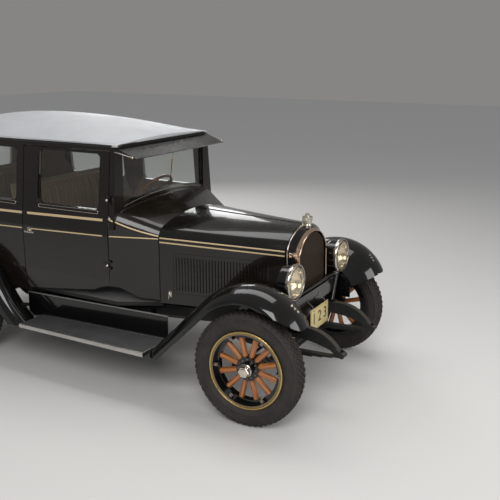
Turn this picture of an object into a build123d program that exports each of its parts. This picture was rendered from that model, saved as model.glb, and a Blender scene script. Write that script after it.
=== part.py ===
from build123d import *
import os
from math import asin, atan2, cos, degrees, hypot, radians, sin, sqrt, tan

os.makedirs("parts", exist_ok=True)

# A closed two-door car of the 1920s, in millimetres. X runs forward, Y to the car's left and Z up
# from the floor. The origin lies on the floor, halfway along the car and on its centre plane.

# Overall layout
wheelbase = 2700
track = 1422
front_overhang = 505
rear_overhang = 930
front_x = (wheelbase + rear_overhang - front_overhang) / 2
rear_x = front_x - wheelbase
sides = (("right", -1), ("left", 1))

# Running clearances
pin_clearance = 0.05
seat_gap = 0.3
panel_gap = 6

# Tyres and wooden wheels
tyre_radius = 386
tyre_width = 132
tread_width = 104
bead_radius = 247
bead_width = 96
flange_radius = 265
rim_width = 112
felloe_radius = 240
felloe_inner_radius = 212
felloe_width = 44
spoke_count = 12
spoke_foot_radius = 18
spoke_radius = 20
hub_radius = 46
hub_flange_radius = 80
hub_length = 100
hub_cap_radius = 34
hub_cap_length = 34
lug_count = 6
drum_radius = 142
drum_width = 46
spindle_radius = 18

# Steering
steer_rest = 4.3
king_pin_y = 610
king_pin_radius = 11
eye_radius = 22
eye_height = 50
ear_thickness = 18
steer_arm_length = 160
tie_rod_radius = 11
tie_pin_radius = 8

# Chassis frame
rail_height = 90
rail_width = 45
rail_wall = 5
rail_top = 555
rail_front_y = 279
rail_rear_y = 460
rail_straight_x = front_x - 1300
horn_length = 420
horn_eye_radius = 18
bumper_hole_radius = 5.5
kick_up = 90
rail_end_x = rear_x - 640

# Springs
leaf_count = 6
leaf_thickness = 7
leaf_width = 44
rear_spring_half = 610

# Axles, engine and drive
beam_height = 52
beam_width = 46
beam_web = 14
axle_tube_radius = 35
diff_radius = 135
diff_width = 190
torque_tube_radius = 34
engine_front_x = front_x - 75
engine_length = 640
engine_width = 230
engine_bottom = 470
engine_height = 560
engine_arm_reach = 264
gearbox_length = 330
gearbox_width = 190
gearbox_height = 170
exhaust_y = 210
exhaust_z = 318
exhaust_radius = 21
muffler_radius = 62
muffler_length = 520
tank_length = 260
tank_height = 150
tank_width = 780

# Bonnet, radiator shell and cowl sections
hood_front_x = front_x + 45
hood_rear_x = front_x - 900
shell_front_x = front_x + 122
hood_front_half = 275
hood_rear_half = 462
hood_front_belt = 1043
hood_rear_belt = 1078
hood_front_top = 1205
hood_rear_top = 1232
hood_front_shoulder = 110
hood_rear_shoulder = 92
hood_bottom = 600
hood_sheet = 4
ledge_length = 22
shell_sheet = 6
rim_half = 205
rim_belt = 992
rim_top = 1150
shell_bottom = 560
cap_x = front_x + 74
knuckle_radius = 5
knuckle_count = 6
hinge_rod_radius = 2
louvre_count = 31
louvre_front_x = front_x - 80
louvre_rear_x = front_x - 770
louvre_low = 706
louvre_high = 956
louvre_width = 11
louvre_rise = 6
border_width = 6
border_rise = 2.5
border_margin = 27

# Body
pillar_x = front_x - 1225
door_rear_x = front_x - 2060
body_rear_x = front_x - 3300
wall = 34
belt_z = 1100
roof_z = 1745
window_bottom = 1283
window_top = 1690
window_radius = 32
door_window_front_x = front_x - 1318
door_window_rear_x = front_x - 1905
quarter_window_front_x = front_x - 2130
quarter_window_rear_x = front_x - 2790
back_window_half = 300
back_window_bottom = 1340
back_window_top = 1610
glass_thickness = 6
floor_z = rail_top + 30
floor_thickness = 30

# Fenders and running boards
fender_sheet = 4
fender_outer_y = 829
front_arc_x = front_x + 30
front_arc_z = 545
front_arc_radius = 400
rear_part_arc_radius = 515
board_top = 368
board_thickness = 24
board_outer_y = 832
board_front_x = front_x - 775
board_rear_x = front_x - 1965
apron_top = 538

# Lamps
lamp_x = front_x + 184
lamp_y = 378
lamp_z = 894
lamp_radius = 118
lamp_depth = 136
lamp_barrel = 80
lamp_bend = 36
tie_bar_z = 765


def save(builder, name):
    """Label the finished sub-part and write it as its own STEP file."""
    builder.part.label = name
    export_step(builder.part, f"parts/{name}.step")


def vertical_plane(x, y, angle=0.0):
    """Upright sketch plane through (x, y): its x runs forward, turned by angle about Z."""
    forward = (cos(radians(angle)), sin(radians(angle)), 0)
    return Plane(origin=(x, y, 0), x_dir=forward, z_dir=(forward[1], -forward[0], 0))


def arch_section(x, half, belt, top, shoulder, bottom):
    """Closed outline across the car: straight sides, round shoulders and a crowned top."""
    rise = top - belt
    crown = ((half - shoulder) ** 2 + rise**2 - shoulder**2) / (2 * (rise - shoulder))
    lean = atan2(half - shoulder, crown - rise)
    turn_y = (half - shoulder) + shoulder * sin(lean)
    turn_z = belt + shoulder * cos(lean)
    mid = (lean + radians(90)) / 2
    mid_y = (half - shoulder) + shoulder * sin(mid)
    mid_z = belt + shoulder * cos(mid)
    with BuildSketch(Plane(origin=(x, 0, 0), x_dir=(0, 1, 0), z_dir=(1, 0, 0))) as section:
        with BuildLine():
            Line((-half, bottom), (half, bottom))
            Line((half, bottom), (half, belt))
            ThreePointArc((half, belt), (mid_y, mid_z), (turn_y, turn_z))
            ThreePointArc((turn_y, turn_z), (0, top), (-turn_y, turn_z))
            ThreePointArc((-turn_y, turn_z), (-mid_y, mid_z), (-half, belt))
            Line((-half, belt), (-half, bottom))
        make_face()
    return section.sketch


# Wheel planes: local z points out of the car along the axle
def wheel_plane(axle_x, side, angle):
    outward = (-side * sin(radians(angle)), side * cos(radians(angle)), 0)
    reach = track / 2 - king_pin_y
    centre = (axle_x + reach * outward[0], side * king_pin_y + reach * outward[1], tyre_radius)
    ahead = (cos(radians(angle)), sin(radians(angle)), 0)
    return Plane(origin=centre, x_dir=ahead, z_dir=outward)


corners = (
    # name, axle x, side, steering angle, has a brake drum
    ("front_right", front_x, -1, steer_rest, False),
    ("front_left", front_x, 1, steer_rest, False),
    ("rear_right", rear_x, -1, 0, True),
    ("rear_left", rear_x, 1, 0, True),
)

# Section of a tyre: radius, half width at the bead, the bulge and the tread
bulge_radius = (bead_radius + tyre_radius) / 2 + 8
shoulder_radius = tyre_radius - 14


def tyre_solid():
    """Balloon tyre with a flat tread, about the local wheel axis."""
    with BuildPart() as tyre:
        with BuildSketch(Plane.XZ):
            with BuildLine():
                Line((bead_radius, -bead_width / 2), (bead_radius, bead_width / 2))
                Line((bead_radius, bead_width / 2), (flange_radius + 2, bead_width / 2))
                ThreePointArc(
                    (flange_radius + 2, bead_width / 2),
                    (bulge_radius, tyre_width / 2),
                    (shoulder_radius, tread_width / 2),
                )
                Line((shoulder_radius, tread_width / 2), (tyre_radius, tread_width / 2 - 16))
                Line((tyre_radius, tread_width / 2 - 16), (tyre_radius, -tread_width / 2 + 16))
                Line((tyre_radius, -tread_width / 2 + 16), (shoulder_radius, -tread_width / 2))
                ThreePointArc(
                    (shoulder_radius, -tread_width / 2),
                    (bulge_radius, -tyre_width / 2),
                    (flange_radius + 2, -bead_width / 2),
                )
                Line((flange_radius + 2, -bead_width / 2), (bead_radius, -bead_width / 2))
            make_face()
        revolve(axis=Axis.Z)
    return tyre.part


def ring(inner, outer, low, high):
    """Flat-sided ring about the local wheel axis."""
    with BuildPart() as band:
        with BuildSketch(Plane.XZ):
            with Locations(((inner + outer) / 2, (low + high) / 2)):
                Rectangle(outer - inner, high - low)
        revolve(axis=Axis.Z)
    return band.part


def demountable_rim():
    """Steel rim: a band with two flanges that hold the beads."""
    with BuildPart() as rim:
        add(ring(felloe_radius, bead_radius - seat_gap, -rim_width / 2, rim_width / 2))
        add(ring(felloe_radius, flange_radius, bead_width / 2 + seat_gap, rim_width / 2))
        add(ring(felloe_radius, flange_radius, -rim_width / 2, -bead_width / 2 - seat_gap))
    return rim.part


with BuildPart() as spoke:
    with BuildSketch(Plane.YZ.offset(hub_radius - 6)):
        Circle(spoke_foot_radius)
    with BuildSketch(Plane.YZ.offset(felloe_inner_radius + 6)):
        Circle(spoke_radius)
    loft()

for name, axle_x, side, angle, has_drum in corners:
    with BuildPart() as wheel:
        add(ring(0, hub_radius, -hub_length / 2, hub_length / 2))
        add(ring(0, hub_flange_radius, 17, 25))
        add(ring(0, hub_flange_radius, -25, -17))
        add(ring(felloe_inner_radius, felloe_radius, -felloe_width / 2, felloe_width / 2))
        add(demountable_rim())
        with PolarLocations(0, spoke_count, start_angle=180 / spoke_count):
            add(spoke.part)
        with BuildSketch(Plane.XY.offset(hub_length / 2)):
            RegularPolygon(hub_cap_radius, 6)
        extrude(amount=hub_cap_length)
        with BuildSketch(Plane.XY.offset(felloe_width / 2)):
            with PolarLocations(felloe_radius - 12, lug_count):
                Rectangle(34, 26)
        extrude(amount=14)
        if has_drum:
            add(ring(hub_radius - 8, drum_radius, -hub_length / 2 - 8, -hub_length / 2))
            add(ring(drum_radius - 6, drum_radius, -hub_length / 2 - 8 - drum_width, -hub_length / 2))
        with Locations((0, 0, -hub_length / 2)):
            Cylinder(
                spindle_radius + pin_clearance,
                hub_length - 12,
                align=(Align.CENTER, Align.CENTER, Align.MIN),
                mode=Mode.SUBTRACT,
            )
    wheel.part = wheel_plane(axle_x, side, angle) * wheel.part
    save(wheel, f"wheel_{name}")

    with BuildPart() as tyre:
        add(wheel_plane(axle_x, side, angle) * tyre_solid())
    save(tyre, f"tyre_{name}")


def fork(x, y, eye_z, root_x, root_z, cheek=6, radius=18, bolt=8):
    """Two cheeks from a root on the rail to a bolt that holds a spring eye."""
    inner = leaf_width / 2 + seat_gap
    with BuildPart() as bracket:
        with BuildSketch(vertical_plane(x, y)):
            with Locations((0, eye_z)):
                Circle(radius)
            with Locations((root_x - x, root_z)):
                Circle(radius)
            make_hull()
        extrude(amount=inner + cheek, both=True)
        with BuildSketch(vertical_plane(x, y)):
            Rectangle(8 * radius, 4 * rail_top)
        extrude(amount=inner, both=True, mode=Mode.SUBTRACT)
        with BuildSketch(vertical_plane(x, y)):
            with Locations((0, eye_z)):
                Circle(bolt)
        extrude(amount=inner + cheek, both=True)
    return bracket.part


# Chassis frame: two channel rails with curved horns, kicked up over the rear axle
horn_x = front_x + front_overhang - horn_eye_radius
horn_eye_z = 402
bumper_holes = ((front_x + 230, rail_top - 50), (front_x + 290, rail_top - 50))
taper_x = front_x - 520
taper_angle = degrees(atan2(rail_rear_y - rail_front_y, taper_x - rail_straight_x))
taper_length = hypot(rail_rear_y - rail_front_y, taper_x - rail_straight_x)
rail_bottom = rail_top - rail_height
rear_eye_z = 404
front_eye_back_x = front_x - (horn_x - front_x)
rear_eye_front_x = rear_x + rear_spring_half
rear_eye_back_x = rear_x - rear_spring_half
kick_start_x = rear_x + 440
kick_end_x = rear_x + 200


def rail_segment(plane, points, side, pocket=True):
    """One stretch of rail, extruded about its middle plane and opened on its inner side."""
    with BuildPart() as rail:
        with BuildSketch(plane) as web:
            with BuildLine():
                Polyline(*points, close=True)
            make_face()
        extrude(amount=rail_width / 2, both=True)
        if pocket:
            inner = plane.offset(side * rail_width / 2)
            with BuildSketch(inner):
                add(offset(web.sketch_local, amount=-rail_wall))
            extrude(amount=-side * (rail_width - rail_wall), mode=Mode.SUBTRACT)
    return rail.part


with BuildPart() as frame:
    for side_name, side in sides:
        with BuildSketch(vertical_plane(0, side * rail_front_y)):
            with BuildLine():
                Line((taper_x, rail_bottom), (taper_x, rail_top))
                Line((taper_x, rail_top), (horn_x - horn_length + 130, rail_top))
                ThreePointArc(
                    (horn_x - horn_length + 130, rail_top),
                    (horn_x - 130, rail_top - 32),
                    (horn_x - 14, horn_eye_z + 14),
                )
                Line((horn_x - 14, horn_eye_z + 14), (horn_x - 36, horn_eye_z + 6))
                ThreePointArc(
                    (horn_x - 36, horn_eye_z + 6),
                    (horn_x - 160, rail_bottom - 14),
                    (horn_x - horn_length, rail_bottom),
                )
                Line((horn_x - horn_length, rail_bottom), (taper_x, rail_bottom))
            make_face()
        extrude(amount=rail_width / 2, both=True)
        with BuildSketch(vertical_plane(0, side * rail_front_y)):
            with Locations((horn_x, horn_eye_z)):
                Circle(horn_eye_radius + 14)
        extrude(amount=leaf_width / 2 + seat_gap, both=True, mode=Mode.SUBTRACT)
        with BuildSketch(vertical_plane(0, side * rail_front_y)):
            with Locations(*bumper_holes):
                Circle(bumper_hole_radius)
        extrude(amount=rail_width, both=True, mode=Mode.SUBTRACT)
        add(fork(horn_x, side * rail_front_y, horn_eye_z, horn_x - 62, horn_eye_z + 34))
        add(fork(front_eye_back_x, side * rail_front_y, horn_eye_z, front_eye_back_x, rail_bottom + 24))
        taper_plane = vertical_plane(taper_x, side * rail_front_y, -side * taper_angle)
        taper = ((-taper_length, rail_bottom), (2, rail_bottom), (2, rail_top), (-taper_length, rail_top))
        add(rail_segment(taper_plane, taper, -side))
        rear_plane = vertical_plane(0, side * rail_rear_y)
        rear = (
            (rail_straight_x + 3, rail_bottom),
            (rail_straight_x + 3, rail_top),
            (kick_start_x, rail_top),
            (kick_end_x, rail_top + kick_up),
            (rail_end_x, rail_top + kick_up),
            (rail_end_x, rail_bottom + kick_up),
            (kick_end_x, rail_bottom + kick_up),
            (kick_start_x, rail_bottom),
        )
        add(rail_segment(rear_plane, rear, -side))
        add(fork(rear_eye_front_x, side * rail_rear_y, rear_eye_z, rear_eye_front_x, rail_bottom + 24))
        add(fork(rear_eye_back_x, side * rail_rear_y, rear_eye_z, rear_eye_back_x, rail_bottom + kick_up + 24))
    members = (
        # x, half length, bottom, top, width along the car
        (front_x + 30, rail_front_y, rail_top - 60, rail_top - 4, 60),
        (rail_straight_x, rail_rear_y, rail_top - 34, rail_top - 2, 70),
        (kick_start_x + 80, rail_rear_y, rail_top - 40, rail_top - 4, 70),
        (rear_x - 400, rail_rear_y, rail_top, rail_top + kick_up - 4, 60),
        (rail_end_x + 40, rail_rear_y, rail_top, rail_top + kick_up - 4, 60),
    )
    for member_x, reach, low, high, along in members:
        with BuildSketch(Plane.XY.offset(low)):
            with Locations((member_x, 0)):
                Rectangle(along, 2 * reach)
        extrude(amount=high - low)
save(frame, "frame")


# Leaf springs: arcs about one centre, each leaf shorter than the one above it
def spring_top(eye_z, half, camber, eye_radius=16):
    """Height of the main leaf's upper face at the middle of the spring."""
    radius = (half**2 + camber**2) / (2 * camber)
    eye_arm = radius - (eye_radius - leaf_thickness)
    return eye_z + sqrt(eye_arm**2 - half**2) - radius


def leaf_spring(x, y, eye_z, half, camber, eye_radius=16, bolt=8.3):
    radius = (half**2 + camber**2) / (2 * camber)
    eye_arm = radius - (eye_radius - leaf_thickness)
    swing = asin(half / eye_arm)
    centre_z = eye_z + eye_arm * cos(swing)
    with BuildPart() as spring:
        for leaf in range(leaf_count):
            inner = radius + leaf * leaf_thickness
            outer = inner + leaf_thickness
            reach = swing * (1 - leaf / (leaf_count + 0.5))
            with BuildSketch(vertical_plane(x, y)):
                with BuildLine():
                    ends = []
                    for arm in (inner, outer):
                        left = (-arm * sin(reach), centre_z - arm * cos(reach))
                        right = (arm * sin(reach), centre_z - arm * cos(reach))
                        ThreePointArc(left, (0, centre_z - arm), right)
                        ends.append((left, right))
                    Line(ends[0][0], ends[1][0])
                    Line(ends[0][1], ends[1][1])
                make_face()
            extrude(amount=leaf_width / 2, both=True)
        with BuildSketch(vertical_plane(x, y)):
            with Locations((-half, eye_z), (half, eye_z)):
                Circle(eye_radius)
        extrude(amount=leaf_width / 2, both=True)
        with BuildSketch(vertical_plane(x, y)):
            with Locations((-half, eye_z), (half, eye_z)):
                Circle(bolt)
        extrude(amount=leaf_width / 2, both=True, mode=Mode.SUBTRACT)
    return spring.part


front_camber = 15
rear_camber = 60
spring_stack = leaf_count * leaf_thickness
front_seat_z = spring_top(horn_eye_z, horn_x - front_x, front_camber) - spring_stack - seat_gap
rear_spring_top = spring_top(rear_eye_z, rear_spring_half, rear_camber) + 1

with BuildPart() as springs:
    for side_name, side in sides:
        add(leaf_spring(front_x, side * rail_front_y, horn_eye_z, horn_x - front_x, front_camber))
        add(leaf_spring(rear_x, side * rail_rear_y, rear_eye_z, rear_spring_half, rear_camber))
save(springs, "springs")

# Front axle: a dropped I-beam with an eye and a king pin at each end
beam_top = front_seat_z - 8
beam_low = beam_top - beam_height
eye_z = tyre_radius
beam_knee = 430

with BuildPart() as front_axle:
    beam_outline = (
        (-king_pin_y, eye_z - 20),
        (-king_pin_y, eye_z + 20),
        (-beam_knee - 90, eye_z + 20),
        (-beam_knee, beam_top),
        (beam_knee, beam_top),
        (beam_knee + 90, eye_z + 20),
        (king_pin_y, eye_z + 20),
        (king_pin_y, eye_z - 20),
        (beam_knee + 110, eye_z - 20),
        (beam_knee + 14, beam_low),
        (-beam_knee - 14, beam_low),
        (-beam_knee - 110, eye_z - 20),
    )
    beam_plane = Plane(origin=(front_x, 0, 0), x_dir=(0, 1, 0), z_dir=(1, 0, 0))
    with BuildSketch(beam_plane) as beam_face:
        with BuildLine():
            Polyline(*beam_outline, close=True)
        make_face()
    extrude(amount=beam_width / 2, both=True)
    for direction in (-1, 1):
        with BuildSketch(beam_plane.offset(direction * beam_width / 2)):
            add(offset(beam_face.sketch_local, amount=-9))
        extrude(amount=-direction * (beam_width - beam_web) / 2, mode=Mode.SUBTRACT)
    for side_name, side in sides:
        with Locations((front_x, side * king_pin_y, eye_z)):
            Cylinder(eye_radius, eye_height)
            Cylinder(king_pin_radius, eye_height + 2 * ear_thickness + 8)
        with Locations((front_x, side * rail_front_y, beam_top)):
            Box(96, leaf_width + 16, 8, align=(Align.CENTER, Align.CENTER, Align.MIN))
save(front_axle, "front_axle")

# Steering knuckles: a yoke round each eye, the wheel's spindle and a steering arm
ear_gap = 1
ear_low = eye_z - eye_height / 2 - ear_gap - ear_thickness
ear_high = eye_z + eye_height / 2 + ear_gap
wheel_offset = track / 2 - king_pin_y
yoke_inner = eye_radius + 5
yoke_outer = wheel_offset - hub_length / 2 - 3

for side_name, side in sides:
    pin_plane = Plane(
        origin=(front_x, side * king_pin_y, 0),
        x_dir=(cos(radians(steer_rest)), sin(radians(steer_rest)), 0),
        z_dir=(0, 0, 1),
    )
    with BuildPart() as knuckle:
        with BuildSketch(Plane.XY.offset(ear_low)):
            Circle(24)
            with Locations((0, side * yoke_outer / 2)):
                Rectangle(48, yoke_outer)
            with Locations((-steer_arm_length / 2, 0)):
                Rectangle(steer_arm_length, 20)
            with Locations((-steer_arm_length, 0)):
                Circle(18)
        extrude(amount=ear_thickness)
        with BuildSketch(Plane.XY.offset(ear_high)):
            Circle(24)
            with Locations((0, side * yoke_outer / 2)):
                Rectangle(48, yoke_outer)
        extrude(amount=ear_thickness)
        with BuildSketch(Plane.XY.offset(ear_low)):
            with Locations((0, side * (yoke_inner + yoke_outer) / 2)):
                Rectangle(48, yoke_outer - yoke_inner)
        extrude(amount=ear_high + ear_thickness - ear_low)
        with BuildSketch(Plane.XZ.offset(-side * yoke_outer)):
            with Locations((0, eye_z)):
                Circle(spindle_radius)
        extrude(amount=-side * (hub_length - 14))
        with BuildSketch(Plane.XY.offset(ear_low)):
            Circle(king_pin_radius + pin_clearance)
            with Locations((-steer_arm_length, 0)):
                Circle(tie_pin_radius + pin_clearance)
        extrude(amount=ear_high + ear_thickness - ear_low, mode=Mode.SUBTRACT)
    knuckle.part = pin_plane * knuckle.part
    save(knuckle, f"knuckle_{side_name}")

# Tie rod: joins the two arms, hung under them on two pins
arm_end_x = front_x - steer_arm_length * cos(radians(steer_rest))
arm_end_shift = -steer_arm_length * sin(radians(steer_rest))
tie_rod_z = ear_low - 1 - tie_rod_radius - 4
with BuildPart() as tie_rod:
    with BuildSketch(Plane(origin=(arm_end_x, arm_end_shift, tie_rod_z), x_dir=(1, 0, 0), z_dir=(0, 1, 0))):
        Circle(tie_rod_radius)
    extrude(amount=king_pin_y - 10, both=True)
    for side_name, side in sides:
        with Locations((arm_end_x, side * king_pin_y + arm_end_shift, tie_rod_z - tie_rod_radius - 4)):
            Cylinder(19, 2 * tie_rod_radius + 8, align=(Align.CENTER, Align.CENTER, Align.MIN))
            Cylinder(
                tie_pin_radius,
                2 * tie_rod_radius + 8 + ear_thickness + 6,
                align=(Align.CENTER, Align.CENTER, Align.MIN),
            )
save(tie_rod, "tie_rod")


def strut(start, end, radius, inner=0.0):
    """Round bar, or tube where an inner radius is given, from one point to another."""
    along = Vector(*end) - Vector(*start)
    with BuildPart() as bar:
        with BuildSketch(Plane(origin=start, z_dir=along)):
            Circle(radius)
            if inner:
                Circle(inner, mode=Mode.SUBTRACT)
        extrude(amount=along.length)
    return bar.part


# Rear axle: tube, differential, backing plates, spindles and the torque tube
engine_rear_x = engine_front_x - engine_length
gearbox_rear_x = engine_rear_x - gearbox_length
gearbox_top = floor_z - floor_thickness - 8
drive_z = gearbox_top - gearbox_height / 2
drum_inner_y = track / 2 - hub_length / 2 - 8 - drum_width
spindle_end_y = track / 2 + hub_length / 2 - 14
tube_end_y = track / 2 - hub_length / 2 - 3

with BuildPart() as rear_axle:
    add(strut((rear_x, -tube_end_y, tyre_radius), (rear_x, tube_end_y, tyre_radius), axle_tube_radius))
    add(strut((rear_x, -spindle_end_y, tyre_radius), (rear_x, spindle_end_y, tyre_radius), spindle_radius))
    for side_name, side in sides:
        plate = (rear_x, side * drum_inner_y, tyre_radius)
        add(strut(plate, (rear_x, side * (drum_inner_y + 6), tyre_radius), drum_radius - 12))
        with Locations((rear_x, side * rail_rear_y, rear_spring_top + seat_gap)):
            Box(
                110,
                leaf_width + 16,
                tyre_radius - axle_tube_radius - rear_spring_top + 12,
                align=(Align.CENTER, Align.CENTER, Align.MIN),
            )
    with BuildPart(mode=Mode.PRIVATE) as housing:
        add(strut((rear_x, -diff_width / 2, tyre_radius), (rear_x, diff_width / 2, tyre_radius), diff_radius))
        fillet(housing.edges().filter_by(GeomType.CIRCLE), 45)
    add(housing.part)
    add(
        strut(
            (rear_x, 0, tyre_radius),
            (gearbox_rear_x - 4, 0, drive_z),
            torque_tube_radius,
        )
    )
save(rear_axle, "rear_axle")

# Engine and gearbox as one plain block, with the fan boss in front
with BuildPart() as engine_block:
    with Locations((engine_front_x - engine_length / 2, 0, engine_bottom)):
        Box(engine_length, engine_width, engine_height, align=(Align.CENTER, Align.CENTER, Align.MIN))
    chamfer(engine_block.edges().group_by(Axis.Z)[-1], 30)
    # Arms that rest on the rails
    for arm_x in (engine_front_x - 60, engine_rear_x + 60):
        with Locations((arm_x, 0, rail_top + seat_gap)):
            Box(44, 2 * engine_arm_reach, 24, align=(Align.CENTER, Align.CENTER, Align.MIN))
    with Locations((engine_rear_x - gearbox_length / 2, 0, gearbox_top)):
        Box(
            gearbox_length + 2,
            gearbox_width,
            gearbox_height,
            align=(Align.CENTER, Align.CENTER, Align.MAX),
        )
save(engine_block, "engine_block")

# Exhaust: down pipe, silencer and tail pipe
muffler_front_x = front_x - 1500
muffler_rear_x = muffler_front_x - muffler_length
tail_end_x = rear_x - 720
with BuildPart() as exhaust:
    with BuildLine() as down_pipe:
        FilletPolyline(
            (engine_front_x - 380, engine_width / 2 + seat_gap, 700),
            (engine_front_x - 380, exhaust_y, 700),
            (engine_front_x - 420, exhaust_y, exhaust_z),
            (muffler_front_x, exhaust_y, exhaust_z),
            radius=60,
        )
    with BuildSketch(Plane(origin=down_pipe.line @ 0, z_dir=down_pipe.line % 0)):
        Circle(exhaust_radius)
    sweep()
    add(strut((muffler_front_x, exhaust_y, exhaust_z), (muffler_rear_x, exhaust_y, exhaust_z), muffler_radius))
    add(strut((muffler_rear_x, exhaust_y, exhaust_z), (tail_end_x, exhaust_y, exhaust_z), exhaust_radius))
save(exhaust, "exhaust")

# Fuel tank between the rear rails, hung under the last cross member
tank_top = rail_top - seat_gap
with BuildPart() as fuel_tank:
    with BuildSketch(vertical_plane(rear_x - 450, 0)):
        with Locations((0, tank_top - tank_height / 2)):
            RectangleRounded(tank_length, tank_height, 50)
    extrude(amount=tank_width / 2, both=True)
    add(strut((rear_x - 480, 250, tank_top - 30), (rear_x - 480, 250, tank_top + 60), 28))
save(fuel_tank, "fuel_tank")


# Bonnet sections: half width, belt, crown and shoulder at a station between its two ends
def hood_size(x, inset=0.0):
    share = (x - hood_front_x) / (hood_rear_x - hood_front_x)
    half = hood_front_half + share * (hood_rear_half - hood_front_half) - inset
    belt = hood_front_belt + share * (hood_rear_belt - hood_front_belt)
    top = hood_front_top + share * (hood_rear_top - hood_front_top) - inset
    shoulder = hood_front_shoulder + share * (hood_rear_shoulder - hood_front_shoulder) - inset
    return half, belt, top, shoulder


def hood_shell(front, rear):
    """Sheet that runs between two stations of the bonnet, open below."""
    with BuildPart() as shell:
        add(arch_section(front, *hood_size(front), hood_bottom))
        add(arch_section(rear, *hood_size(rear), hood_bottom))
        loft()
        add(arch_section(front + 20, *hood_size(front + 20, hood_sheet), hood_bottom - 50))
        add(arch_section(rear - 20, *hood_size(rear - 20, hood_sheet), hood_bottom - 50))
        loft(mode=Mode.SUBTRACT)
    return shell.part


def hood_ledge(rear, front):
    """Thin ledge that the bonnet's edge rests on, above the belt only."""
    with BuildPart() as ledge:
        add(arch_section(front, *hood_size(front, hood_sheet + seat_gap), hood_bottom))
        add(arch_section(rear, *hood_size(rear, hood_sheet + seat_gap), hood_bottom))
        loft()
        add(arch_section(front + 5, *hood_size(front + 5, hood_sheet + 5), hood_bottom - 50))
        add(arch_section(rear - 5, *hood_size(rear - 5, hood_sheet + 5), hood_bottom - 50))
        loft(mode=Mode.SUBTRACT)
        split(bisect_by=Plane.XY.offset(hood_rear_belt), keep=Keep.TOP)
    return ledge.part


# The seam between the top and the side panels slopes with the belt
hood_panel_front = hood_front_x - panel_gap / 2
hood_panel_rear = hood_rear_x + panel_gap / 2
hinge_gap = 0.6
seam = Plane(
    origin=(hood_front_x, 0, hood_front_belt),
    x_dir=(-1, 0, (hood_rear_belt - hood_front_belt) / (hood_front_x - hood_rear_x)),
    z_dir=((hood_rear_belt - hood_front_belt) / (hood_front_x - hood_rear_x), 0, 1),
)
with BuildPart() as hood:
    add(hood_shell(hood_panel_front, hood_panel_rear))

# Long hinges: knuckles of the two panels take turns along the line, on one thin rod
hinge_inset = 4.5
knuckle_gap = 0.6
knuckle_margin = ledge_length + 6
middle_line = ((hood_front_x, 0, hood_front_top), (hood_rear_x, 0, hood_rear_top))


def seam_line(side):
    """Hinge line between the top and the side panel, just inside their outer faces."""
    return (
        (hood_front_x, side * (hood_front_half - hinge_inset), hood_front_belt),
        (hood_rear_x, side * (hood_rear_half - hinge_inset), hood_rear_belt),
    )


def point_on(line, reach):
    """Point on a hinge line at a distance from its front end."""
    front, rear = (Vector(*end) for end in line)
    return tuple(front + (rear - front).normalized() * reach)


def knuckles(line, radius, first, trim=0.0):
    """Every second knuckle along a hinge line, from number first, shorter by trim at each end."""
    step = ((Vector(*line[1]) - Vector(*line[0])).length - 2 * knuckle_margin) / knuckle_count
    with BuildPart() as row:
        for number in range(first, knuckle_count, 2):
            start = knuckle_margin + number * step
            add(strut(point_on(line, start + trim), point_on(line, start + step - trim), radius))
    return row.part


def hinge_rod(line, radius):
    """Rod that runs through all the knuckles of a hinge line."""
    length = (Vector(*line[1]) - Vector(*line[0])).length
    return strut(point_on(line, knuckle_margin), point_on(line, length - knuckle_margin), radius)


# Outer face of a bonnet side: local x runs along the panel, y up and z outwards
panel_depth = hood_front_x - hood_rear_x
panel_spread = hood_rear_half - hood_front_half
panel_stretch = hypot(panel_depth, panel_spread) / panel_depth


def side_plane(side):
    return Plane(
        origin=(hood_front_x, side * hood_front_half, 0),
        x_dir=(-side * panel_depth, panel_spread, 0),
        z_dir=(panel_spread, side * panel_depth, 0),
    )


bank_length = (louvre_front_x - louvre_rear_x) * panel_stretch
bank_reach = (hood_front_x - (louvre_front_x + louvre_rear_x) / 2) * panel_stretch
bank_height = louvre_high - louvre_low

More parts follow.
